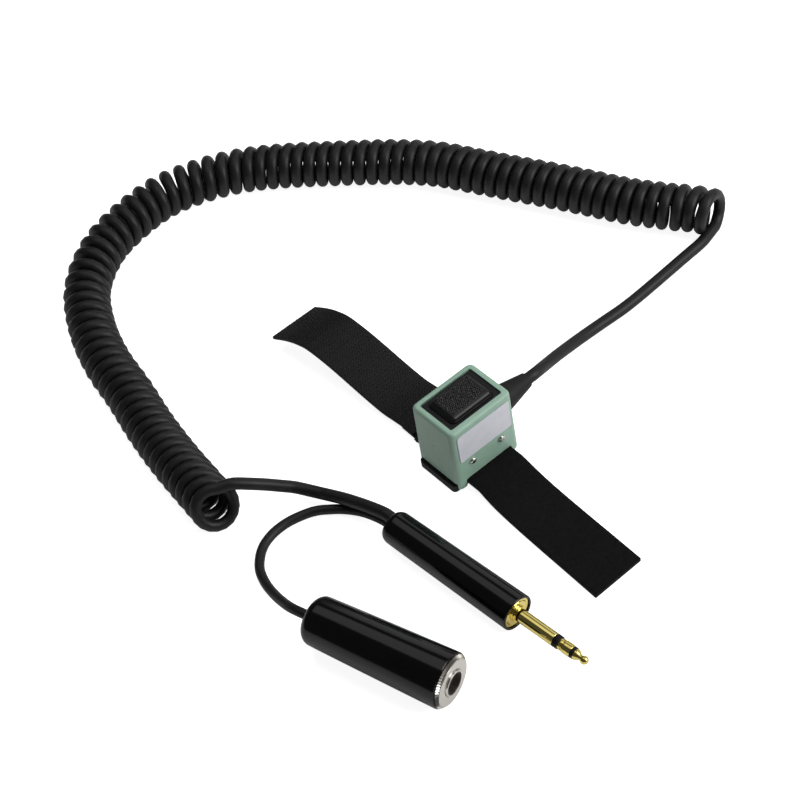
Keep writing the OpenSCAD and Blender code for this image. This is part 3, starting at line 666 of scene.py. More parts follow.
def makeScrews(s):
    profile = [(-4.6, 0), (-4.6, 0.7), (-4.3, s["shank"]), (-0.05, s["shank"]), (0, s["head"]),
               (0.3, s["head"])]
    profile += [(0.3 + (s["high"] - 0.3) * math.sin(a), s["head"] * math.cos(a))
                for a in (math.pi / 2 * k / 8 for k in range(1, 8))] + [(s["high"], 0)]
    unit = turnedPiece("screwUnit", profile, steps=40)
    thin, wide = s["slot"]
    for across in ((thin, wide), (wide, thin)):
        cutter = roundedBlock("cross", 0.4, across[0], -across[1], across[1])
        moveBy(cutter, s["high"] + 0.05)
        cutAway(unit, cutter)
    smoothShade(unit, 30)
    places = []
    for k, (x, y) in enumerate(((-1, -1), (1, -1), (-1, 1), (1, 1))):
        spot = Matrix.Translation((x * s["x"] * mm, y * s["faceY"] * mm, s["z"] * mm))
        places.append(spot @ Matrix.Rotation(math.radians(90 * y), 4, "Z")
                      @ Matrix.Rotation(0.4 + 1.1 * k, 4, "X"))
    return copyOver("housingScrews", unit, places)


housingScrews = makeScrews(screwSetup)
fit(housingScrews, boxBody, "nickel_steel", "housing_screws")
report("screws")

reliefSetup = {"wall": 15.85, "end": 32.45, "base": 6.35, "tip": 3.2, "bore": 2.5, "z": 16.8}


def makeRelief(s):
    wall, end = s["wall"], s["end"]
    profile = [(12.2, s["bore"]), (12.2, 4.2), (13.5, 4.2), (13.5, 3.55), (wall, 3.55),
               (wall, s["base"] - 0.25), (wall + 0.1, s["base"] - 0.06), (wall + 0.5, s["base"]),
               (wall + 1.2, s["base"] - 0.15), (end - 0.3, s["tip"]),
               (end - 0.08, s["tip"] - 0.06),
               (end, s["tip"] - 0.22), (end, s["bore"]), (12.2, s["bore"])]
    return turnedPiece("strainRelief", profile, steps=72, height=s["z"])


strainRelief = makeRelief(reliefSetup)
fit(strainRelief, boxBody, "black_rubber", "strain_relief")
report("strain relief")

strapSetup = {
    "across": 16, "perStation": 6, "edge": 0.3,
    "loopThick": 1.7, "hookThick": 1.5,
    # across, along, height of the underside, half width, in mm
    "loop": [(-2.5, -84, 0.05, 11.6), (-2, -70, 0.05, 11.6), (-1.5, -55, 0.05, 11.6),
             (-1, -42, 0.1, 11.6), (-0.6, -33, 0.4, 11.6), (-0.4, -27, 1.1, 11.6),
             (-0.2, -22, 2.1, 11.5), (0, -18.4, 2.8, 11.4), (0, -16, 2.9, 11.4), (0, 0, 2.9, 11.4),
             (0, 16, 2.9, 11.4), (0, 18.4, 2.2, 11.4), (0.5, 20.5, 1.4, 10.9),
             (0.8, 22, 1.2, 10.9), (1, 29, 1.1, 10.9)],
    "hook": [(0.8, 21, 3.1, 11.7), (1, 24, 2.95, 11.7), (1.1, 29, 2.9, 11.7), (0.9, 34, 2.6, 11.7),
             (0.5, 40, 2.6, 11.7), (-0.3, 50, 4.9, 11.7), (-1.2, 60, 8, 11.7),
             (-2.1, 70, 10.8, 11.7), (-3, 80, 12.5, 11.7), (-3.5, 86, 11.8, 11.7),
             (-4.1, 92, 10, 11.7), (-4.6, 98, 7.1, 11.7), (-5.1, 103, 4.5, 11.7)],
    "bare": 1.5,  # at the edges
    "loops": {"gap": (0.95, 0.95), "from": -83.4, "to": -19.5, "seed": 11, "jitter": 0.35,
              "high": 0.42, "sizes": (0.6, 1.1)},
    "hooks": {"gap": (1.25, 1.7), "from": 21.6, "to": 102.4, "seed": 5, "jitter": 0.1,
              "high": 0.62, "sizes": (0.85, 1.1)},
    "stitch": {"rows": (22.4, 27.6), "first": -9.4, "step": 2.08, "count": 11, "z": 4.62,
               "long": 1.7},
}


def tapeLine(stations, steps):
    # middle of the underside, half width and the way up, smoothed between the stations
    line = smoothLine([Vector(s) for s in stations], steps)
    made = []
    for i, p in enumerate(line):
        a, b = line[max(i - 1, 0)], line[min(i + 1, len(line) - 1)]
        slope = Vector((0, b.y - a.y, b.z - a.z)).normalized()
        made.append((Vector((p.x, p.y, p.z)), p.w, Vector((0, -slope.z, slope.y))))
    return made


def makeTape(name, stations, thick, s):
    line = tapeLine(stations, s["perStation"])
    clearPick()
    count = len(line) - 1
    bpy.ops.mesh.primitive_grid_add(x_subdivisions=s["across"], y_subdivisions=count, size=2)
    piece = bpy.context.object
    piece.name = name
    for spot in piece.data.vertices:
        place, half, up = line[round((spot.co.y + 1) / 2 * count)]
        spot.co = (place + Vector((spot.co.x * half, 0, 0))) * mm
    step = piece.modifiers.new("thickness", "SOLIDIFY")
    step.thickness = thick * mm
    step.offset = 1
    applyAll(piece)
    softEdges(piece, s["edge"], 2, 60)
    smoothShade(piece, 50)
    return piece


def scatterOn(stations, thick, bare, s):
    # places on a tape's top, in rows, with their upward turn
    dice = random.Random(s["seed"])
    gapX, gapY = s["gap"]
    line = tapeLine(stations, 12)
    run = lineLengths([p[0] for p in line])
    made = []
    along = 0
    row = 0
    while along < run[-1]:
        i = max(k for k in range(len(run)) if run[k] <= along)
        place, half, up = line[i]
        t = (along - run[i]) / (run[i + 1] - run[i]) if i + 1 < len(run) else 0
        if i + 1 < len(line):
            place = place.lerp(line[i + 1][0], t)
        if s["from"] < place.y < s["to"]:
            reach = half - bare
            count = int(2 * reach / gapX)
            for k in range(count + 1):
                x = -reach + 2 * reach * (k + 0.5 * (row % 2)) / count
                if x > reach:
                    continue
                shift = [dice.uniform(-s["jitter"], s["jitter"]) * gap for gap in s["gap"]]
                shift = Vector((x + shift[0], shift[1], 0))
                tilt = Matrix.Rotation(math.atan2(-up.y, up.z), 4, "X")
                made.append((Matrix.Translation((place + thick * up) * mm) @ tilt
                             @ Matrix.Translation(shift * mm), dice))
        along += gapY
        row += 1
    return made


def loopUnit():
    # a little arch of yarn, one across
    clearPick()
    bpy.ops.mesh.primitive_circle_add(vertices=4, radius=0.13, location=(0.5, 0, 0))
    piece = bpy.context.object
    settle(piece)
    startEdit(piece)
    bpy.ops.mesh.select_all(action="SELECT")
    bpy.ops.mesh.spin(steps=5, angle=math.pi, center=(0, 0, 0), axis=(0, -1, 0))
    bpy.ops.mesh.select_all(action="SELECT")
    bpy.ops.mesh.normals_make_consistent(inside=False)
    endEdit()
    shadeAll(piece)
    return piece


def hookUnit():
    # a stem that bends over at its top, one high
    clearPick()
    bpy.ops.mesh.primitive_cube_add(size=1)
    piece = bpy.context.object
    piece.scale = (0.34, 0.34, 0.7)
    piece.location = (0, 0, 0.3)
    settle(piece)
    startEdit(piece)
    pickParts(piece, "faces", lambda f: f.normal.z > 0.9)
    for dy, dz in ((0.12, 0.22), (0.28, 0.06), (0.2, -0.2)):
        bpy.ops.mesh.extrude_region_move(TRANSFORM_OT_translate={"value": (0, dy, dz)})
        bpy.ops.transform.resize(value=(0.85, 0.85, 0.85))
    endEdit()
    shadeAll(piece)
    return piece


def stitchUnit():
    # one stitch of thread, a flattened bead, one long
    clearPick()
    bpy.ops.mesh.primitive_uv_sphere_add(segments=8, ring_count=6, radius=0.5)
    piece = bpy.context.object
    piece.scale = (1, 0.24, 0.2)
    settle(piece)
    shadeAll(piece)
    return piece


loopTape = makeTape("loopTape", strapSetup["loop"], strapSetup["loopThick"], strapSetup)
hookTape = makeTape("hookTape", strapSetup["hook"], strapSetup["hookThick"], strapSetup)
fit(loopTape, "strap", "loop_fabric", "strap_loop_tape")
fit(hookTape, "strap", "hook_fabric", "strap_hook_tape")

loopPlaces = []
for matrix, dice in scatterOn(strapSetup["loop"], strapSetup["loopThick"], strapSetup["bare"],
                              strapSetup["loops"]):
    size = dice.uniform(*strapSetup["loops"]["sizes"])
    high = 2 * strapSetup["loops"]["high"] * size
    loopPlaces.append(matrix @ Matrix.Rotation(dice.uniform(0, 6.28), 4, "Z")
                      @ Matrix.Rotation(dice.uniform(-0.5, 0.5), 4, "X")
                      @ Matrix.Diagonal((size * mm, size * mm, high * mm, 1)))
yarnLoops = copyOver("yarnLoops", loopUnit(), loopPlaces)
fit(yarnLoops, "strap", "loop_fabric")

hookPlaces = []
for matrix, dice in scatterOn(strapSetup["hook"], strapSetup["hookThick"], strapSetup["bare"],
                              strapSetup["hooks"]):
    size = strapSetup["hooks"]["high"] * dice.uniform(*strapSetup["hooks"]["sizes"])
    hookPlaces.append(matrix @ Matrix.Rotation(dice.uniform(-0.5, 0.5), 4, "Z")
                      @ Matrix.Diagonal((size * mm, size * mm, size * mm, 1)))
nylonHooks = copyOver("nylonHooks", hookUnit(), hookPlaces)
fit(nylonHooks, "strap", "hook_fabric")

stitchPlaces = []
stitch = strapSetup["stitch"]
for y in stitch["rows"]:
    for k in range(stitch["count"]):
        x = stitch["first"] + stitch["step"] * k
        stitchPlaces.append(Matrix.Translation((x * mm, y * mm, stitch["z"] * mm))
                            @ Matrix.Diagonal((*[stitch["long"] * mm] * 3, 1)))
seamStitches = copyOver("seamStitches", stitchUnit(), stitchPlaces)
fit(seamStitches, "strap", "hook_fabric")
report("strap")

plugSetup = {"handle": 63.8, "rear": 6.8, "front": 7.3, "sleeve": 17.9, "finger": 2.615}


def makePlug(s):
    long, rear, front, thin = s["handle"], s["rear"], s["front"], s["finger"]
    tip = long + s["sleeve"]
    made = {}
    made["plugHandle"] = turnedPiece("plugHandle", (
        [(3, 4.6), (0, 4.6), (0, 4.75), (0.06, 4.9)]
        + [(0.1 + 3.1 * (1 - math.cos(a)), 4.95 + (rear - 4.95) * math.sin(a))
           for a in (math.pi / 2 * k / 10 for k in range(11))]
        + [(long * 0.3, rear + (front - rear) * 0.3), (long * 0.6, rear + (front - rear) * 0.62),
           (long - 0.7, front), (long - 0.3, front - 0.06), (long - 0.08, front - 0.22),
           (long, front - 0.45), (long, front - 0.75), (long - 0.12, front - 0.93),
           (long - 1.2, front - 0.95), (long - 1.2, 5.55), (long - 8, 5.55), (long - 8, 5.2),
           (3, 5.2), (3, 4.6)]), plugPlace)
    made["plugBody"] = turnedPiece("plugBody", [
        (long - 8, 1.75), (long - 8, 5.5), (long - 1.15, 5.5), (long - 1.15, front - 1),
        (long - 0.75, front - 1), (long - 0.6, front - 1.12), (long - 0.6, front - 2.1),
        (long - 0.35, front - 2.3), (long - 0.35, 3.35), (long - 0.2, 3.2), (long + 0.65, 3.2),
        (long + 0.8, 3.05), (long + 0.8, thin), (tip - 0.12, thin), (tip, thin - 0.12),
        (tip, 1.75), (long - 8, 1.75)], plugPlace)
    made["rearInsulator"] = turnedPiece("rearInsulator", [
        (long - 9.2, 1.35), (long - 9.2, 4.4), (long - 8.02, 4.4), (long - 8.02, 1.7),
        (tip + 0.02, 1.7), (tip + 0.02, thin - 0.06), (tip + 0.7, thin - 0.02),
        (tip + 0.8, thin - 0.3), (tip + 1.1, thin - 0.3), (tip + 1.2, thin - 0.02),
        (tip + 2.2, thin - 0.05), (tip + 2.3, thin - 0.15), (tip + 2.3, 1.35), (long - 9.2, 1.35)],
        plugPlace)
    made["ringContact"] = turnedPiece("ringContact", [
        (long - 11.8, 1), (long - 11.8, 1.3), (tip + 2.32, 1.3), (tip + 2.32, 2.2),
        (tip + 2.5, 2.28), (tip + 3.7, 2.3), (tip + 3.85, 1.9), (tip + 4.15, 1.9),
        (tip + 4.3, 2.35), (tip + 4.5, 2.42), (tip + 5.2, 2.44), (tip + 7.2, 2.44),
        (tip + 7.7, 2.38), (tip + 7.9, 2.25), (tip + 7.9, 1), (long - 11.8, 1)], plugPlace)
    made["frontInsulator"] = turnedPiece("frontInsulator", [
        (long - 14.8, 0.6), (long - 14.8, 0.95), (tip + 7.92, 0.95), (tip + 7.92, 2.2),
        (tip + 8.05, 2.3), (tip + 9.2, 2.28), (tip + 9.3, 2.15), (tip + 9.3, 0.6),
        (long - 14.8, 0.6)], plugPlace)
    base = tip + 9.32
    ball = base + 4
    made["tipContact"] = turnedPiece("tipContact", (
        [(long - 17.8, 0), (long - 17.8, 0.55), (base, 0.55), (base, 2.1), (base + 0.12, 2.18),
         (base + 0.55, 2.12), (base + 1.2, 1.72), (base + 1.9, 1.28), (base + 2.4, 1.06),
         (base + 2.62, 1.04)]
        + [(ball + 1.65 * math.cos(math.radians(a)), 1.65 * math.sin(math.radians(a)))
           for a in range(135, 14, -15)] + [(ball + 1.65, 0)]), plugPlace)
    made["cordBushing"] = turnedPiece("cordBushing", [
        (4, 0), (4, 4.55), (0.15, 4.55), (0, 4.4), (0, 4.1), (0.25, 3.95), (0.25, 0)], plugPlace)
    return made


plugPieces = makePlug(plugSetup)
for name, slotName, node in (("plugHandle", "handle_plastic", "plug_handle"),
                             ("plugBody", "gold_brass", "plug_body"),
                             ("rearInsulator", "plug_insulator", "plug_rear_insulator"),
                             ("ringContact", "gold_brass", "plug_ring_contact"),
                             ("frontInsulator", "plug_insulator", "plug_front_insulator"),
                             ("tipContact", "gold_brass", "plug_tip_contact"),
                             ("cordBushing", "black_rubber", "plug_cord_bushing")):
    fit(plugPieces[name], boxBody, slotName, node)
report("plug")

jackSetup = {
    "long": 60.4, "rear": 9.6, "front": 10.8, "nut": 1.5, "teeth": 60, "toothDeep": 0.65,
    "socket": 2.665, "seat": 5.25,
    "bladeFrom": 25, "bladeLess": 27.6, "bladeHalf": 4.5, "bladeLow": 3.4, "bladeHigh": 4.3,
    "windowAt": 31, "windowLong": 7, "windowWide": 3,
    "threads": 5, "threadFrom": 0.25, "pitch": 0.42, "mouth": 4.35, "taper": 0.3,
}


def makeJack(s):
    long, rear, front = s["long"], s["rear"], s["front"]
    nut, inner = long - s["nut"], long - 2.9
    face = long + 0.6
    made = {}
    made["jackHandle"] = turnedPiece("jackHandle", (
        [(3, 2.6), (0.05, 2.6), (0, 2.75), (0, rear - 4.2)]
        + [(4 * (1 - math.cos(a)), rear - 4.2 + 4.2 * math.sin(a))
           for a in (math.pi / 2 * k / 12 for k in range(1, 13))]
        + [(nut * 0.35, rear + (front - rear) * 0.35), (nut * 0.7, rear + (front - rear) * 0.72),
           (nut - 0.7, front), (nut - 0.35, front - 0.08), (nut - 0.12, front - 0.35),
           (nut - 0.1, front - 0.6), (nut - 0.1, 9.1), (inner - 7, 9.1), (inner - 7, 8), (3, 8),
           (3, 2.6)]),
        jackPlace, 128)
    teeth = turnedPiece("faceNut", [
        (inner - 6.5, 7.6), (inner - 6.5, 9), (nut, 9), (nut, front - 0.5),
        (nut + 0.2, front - 0.4), (long - 0.35, front - 1.35), (long - 0.12, front - 1.6),
        (long - 0.12, front - 1.8), (long, front - 1.95), (long, s["seat"] + 0.35),
        (long - 0.2, s["seat"] + 0.2), (long - 0.2, s["seat"]), (inner - 0.8, s["seat"]),
        (inner - 0.8, 7.6), (inner - 6.5, 7.6)],
        None, 2 * s["teeth"])
    startEdit(teeth)

    def isTooth(v):
        column = round(math.degrees(math.atan2(v.co.y, v.co.z)) / (180 / s["teeth"]))
        radius = math.hypot(v.co.y, v.co.z)
        return column % 2 == 0 and radius > (front - 1.45) * mm and v.co.x > (nut - 0.05) * mm

    pickParts(teeth, "verts", isTooth)
    small = 1 - s["toothDeep"] / front
    bpy.ops.transform.resize(value=(1, small, small), center_override=(0, 0, 0))
    endEdit()
    layAt(teeth, jackPlace)
    smoothShade(teeth, 12)
    made["faceNut"] = teeth
    bore = s["socket"]
    thread = []
    for k in range(s["threads"]):
        x = face - s["threadFrom"] - s["pitch"] * k
        r = s["mouth"] - s["taper"] * k
        thread += [(x, r), (x - 0.12, r - 0.02), (x - 0.21, r - 0.26), (x - 0.33, r - 0.28)]
    made["jackBushing"] = turnedPiece("jackBushing", [
        (face - 18, bore), (face - 18, 4.2), (inner - 3.4, 4.2), (inner - 3.4, 7),
        (inner - 0.85, 7), (inner - 0.85, 5.1), (face - 0.3, 5.1), (face - 0.08, 4.98),
        (face, 4.8), (face, 4.5)]
        + thread + [(face - 2.4, bore), (face - 18, bore)], jackPlace)
    half = (inner - s["bladeLess"]) / 2
    blade = roundedBlock("frameBlade", half, s["bladeHalf"], s["bladeLow"], s["bladeHigh"], 0.5, 2)
    moveBy(blade, s["bladeFrom"] + half)
    window = roundedBlock("window", s["windowLong"], s["windowWide"], s["bladeLow"] - 0.4,
                          s["bladeHigh"] + 0.7)
    moveBy(window, s["windowAt"])
    cutAway(blade, window)
    layAt(blade, jackPlace)
    joinPieces(made["jackBushing"], [blade])
    return made


jackPieces = makeJack(jackSetup)
fit(jackPieces["jackHandle"], boxBody, "handle_plastic", "jack_handle")
fit(jackPieces["faceNut"], boxBody, "nickel_brass", "jack_face_nut")
fit(jackPieces["jackBushing"], boxBody, "nickel_brass", "jack_bushing")
report("jack")

report("cord ends")

# the materials, from here on


def addNode(tree, kind, values=None, **settings):
    # a value that is another node's socket is linked
    node = tree.nodes.new("ShaderNode" + kind)
    for word, value in settings.items():
        setattr(node, word, value)
    for word, value in (values or {}).items():
        if isinstance(value, bpy.types.NodeSocket):
            tree.links.new(value, node.inputs[word])
        else:
            node.inputs[word].default_value = value
    return node


def addMath(tree, operation, *values):
    return addNode(tree, "Math", dict(enumerate(values)), operation=operation).outputs[0]


def addNoise(tree, vector, scale, detail, roughness=0.5):
    return addNode(tree, "TexNoise", {"Vector": vector, "Scale": scale, "Detail": detail,
                                      "Roughness": roughness}).outputs["Fac"]


def addRange(tree, value, fromMin, fromMax, toMin=0.0, toMax=1.0):
    return addNode(tree, "MapRange", {"Value": value, "From Min": fromMin, "From Max": fromMax,
                                      "To Min": toMin, "To Max": toMax}).outputs["Result"]


def addMix(tree, factor, a, b):
    mixed = addNode(tree, "Mix", {"Factor": factor, "A": a, "B": b}, data_type="RGBA")
    return mixed.outputs["Result"]


def newGroup(name, **usual):
    tree = bpy.data.node_groups.new(name, "ShaderNodeTree")
    tree.interface.new_socket("Vector", in_out="INPUT", socket_type="NodeSocketVector")
    for word, value in usual.items():
        kind = "NodeSocketColor" if isinstance(value, tuple) else "NodeSocketFloat"
        tree.interface.new_socket(word, in_out="INPUT", socket_type=kind).default_value = value
    return tree, tree.nodes.new("NodeGroupInput").outputs


def closeGroup(tree, **results):
    for word in results:
        kind = "NodeSocketColor" if word == "Color" else "NodeSocketFloat"
        tree.interface.new_socket(word, in_out="OUTPUT", socket_type=kind)
    end = tree.nodes.new("NodeGroupOutput")
    for word, result in results.items():
        tree.links.new(result, end.inputs[word])
    return tree


def fineGrainGroup():
    # small bumps and the way they change the gloss
    tree, given = newGroup("fineGrain", Scale=2000.0, Roughness=0.4, Spread=0.08)
    bumps = addNoise(tree, given["Vector"], given["Scale"], 5.0, 0.6)
    shift = addMath(tree, "SUBTRACT", addNoise(tree, given["Vector"], 220.0, 3.0), 0.5)
    return closeGroup(tree, Height=bumps, Roughness=addMath(
        tree, "MULTIPLY_ADD", shift, given["Spread"], given["Roughness"]))


def colourDriftGroup():
    # slow change from one tone to a neighbouring one, with a few specks
    tree, given = newGroup("colourDrift", Scale=90.0, Tone=(0.5, 0.5, 0.5, 1),
                           Other=(0.4, 0.4, 0.4, 1), Speck=(0.3, 0.3, 0.3, 1), Specks=0.2)
    slow = addRange(tree, addNoise(tree, given["Vector"], given["Scale"], 4.0, 0.55), 0.32, 0.68)
    few = addRange(tree, addNoise(tree, given["Vector"], 1400.0, 2.0), 0.6, 0.75)
    plain = addMix(tree, slow, given["Tone"], given["Other"])
    return closeGroup(tree, Color=addMix(
        tree, addMath(tree, "MULTIPLY", few, given["Specks"]), plain, given["Speck"]))


def edgeWearAndSheenGroup():
    # brighter along outer edges, broken up by a noise: where hands rub, and on the mint housing
    # also a painted highlight
    tree, given = newGroup("edgeWearAndSheen", From=0.52, To=0.6, Amount=0.5)
    shape = addNode(tree, "NewGeometry")
    edges = addRange(tree, shape.outputs["Pointiness"], given["From"], given["To"])
    broken = addRange(tree, addNoise(tree, given["Vector"], 420.0, 4.0), 0.35, 0.65, 0.35)
    both = addMath(tree, "MULTIPLY", edges, broken)
    return closeGroup(tree, Mask=addMath(tree, "MULTIPLY", both, given["Amount"]))


def turningMarksGroup():
    # fine rings left by the lathe, along the X of the given vector
    tree, given = newGroup("turningMarks", Scale=4000.0)
    squeeze = addNode(tree, "VectorMath", {0: given["Vector"], 1: (1.0, 0.02, 0.02)},
                      operation="MULTIPLY")
    return closeGroup(tree, Height=addNoise(tree, squeeze.outputs[0], given["Scale"], 3.0))


def tapeWeaveGroup():
    # crossing yarns of a woven tape
    tree, given = newGroup("tapeWeave", Across=900.0, Along=600.0)
    split = addNode(tree, "SeparateXYZ", {0: given["Vector"]})
    waves = [addMath(tree, "SINE", addMath(tree, "MULTIPLY", split.outputs[axis], given[word]))
             for axis, word in (("X", "Across"), ("Y", "Along"))]
    height = addRange(tree, addMath(tree, "MULTIPLY", *waves), -1.0, 1.0)
    fuzz = addNoise(tree, given["Vector"], 2600.0, 3.0)
    return closeGroup(tree, Height=height, Yarn=addMath(tree, "MULTIPLY", height, fuzz))


groups = {"grain": fineGrainGroup(), "drift": colourDriftGroup(), "wear": edgeWearAndSheenGroup(),
          "marks": turningMarksGroup(), "weave": tapeWeaveGroup()}


usualLook = {
    "driftScale": 90.0, "specks": 0.3, "wearFrom": 0.52, "wearTo": 0.6, "wear": 0.3,
    "grainScale": 2000.0, "spread": 0.15, "bump": 0.3, "depth": 0.03, "turn": 0, "shader": {},
}


def makeMaterial(name, look):
    look = {**usualLook, "speck": look["other"], "worn": look["tone"], **look}
    material = bpy.data.materials.new(name)
    material.use_nodes = True
    tree = material.node_tree
    shader = tree.nodes["Principled BSDF"]
    for word, value in look["shader"].items():
        shader.inputs[word].default_value = value
    where = addNode(tree, "TexCoord").outputs["Object"]
    turn = (0, 0, math.radians(-look["turn"]))
    vector = addNode(tree, "Mapping", {"Vector": where, "Rotation": turn}).outputs["Vector"]

    def place(kind, **values):
        return addNode(tree, "Group", {"Vector": vector, **values}, node_tree=groups[kind]).outputs

    drift = place("drift", Scale=look["driftScale"], Tone=(*look["tone"], 1),
                  Other=(*look["other"], 1), Speck=(*look["speck"], 1), Specks=look["specks"])
    worn = place("wear", From=look["wearFrom"], To=look["wearTo"], Amount=look["wear"])
    colour = addMix(tree, worn["Mask"], drift["Color"], (*look["worn"], 1))
    grain = place("grain", Scale=look["grainScale"], Roughness=look["rough"],
                  Spread=look["spread"])
    height = grain["Height"]
    if "marks" in look:
        marks = place("marks", Scale=look["marks"])
        height = addMath(tree, "MULTIPLY_ADD", marks["Height"], 1.5, height)
    if "weave" in look:
        weave = place("weave", Across=look["weave"][0], Along=look["weave"][1])
        height = addMath(tree, "MULTIPLY_ADD", weave["Height"], 2.5, height)
        colour = addMix(tree, weave["Yarn"], colour, (*look["yarn"], 1))
    bump = addNode(tree, "Bump", {"Strength": look["bump"], "Height": height,
                                  "Distance": look["depth"] * mm})
    for word, result in (("Base Color", colour), ("Roughness", grain["Roughness"]),
                         ("Normal", bump.outputs["Normal"])):
        tree.links.new(result, shader.inputs[word])
    return material


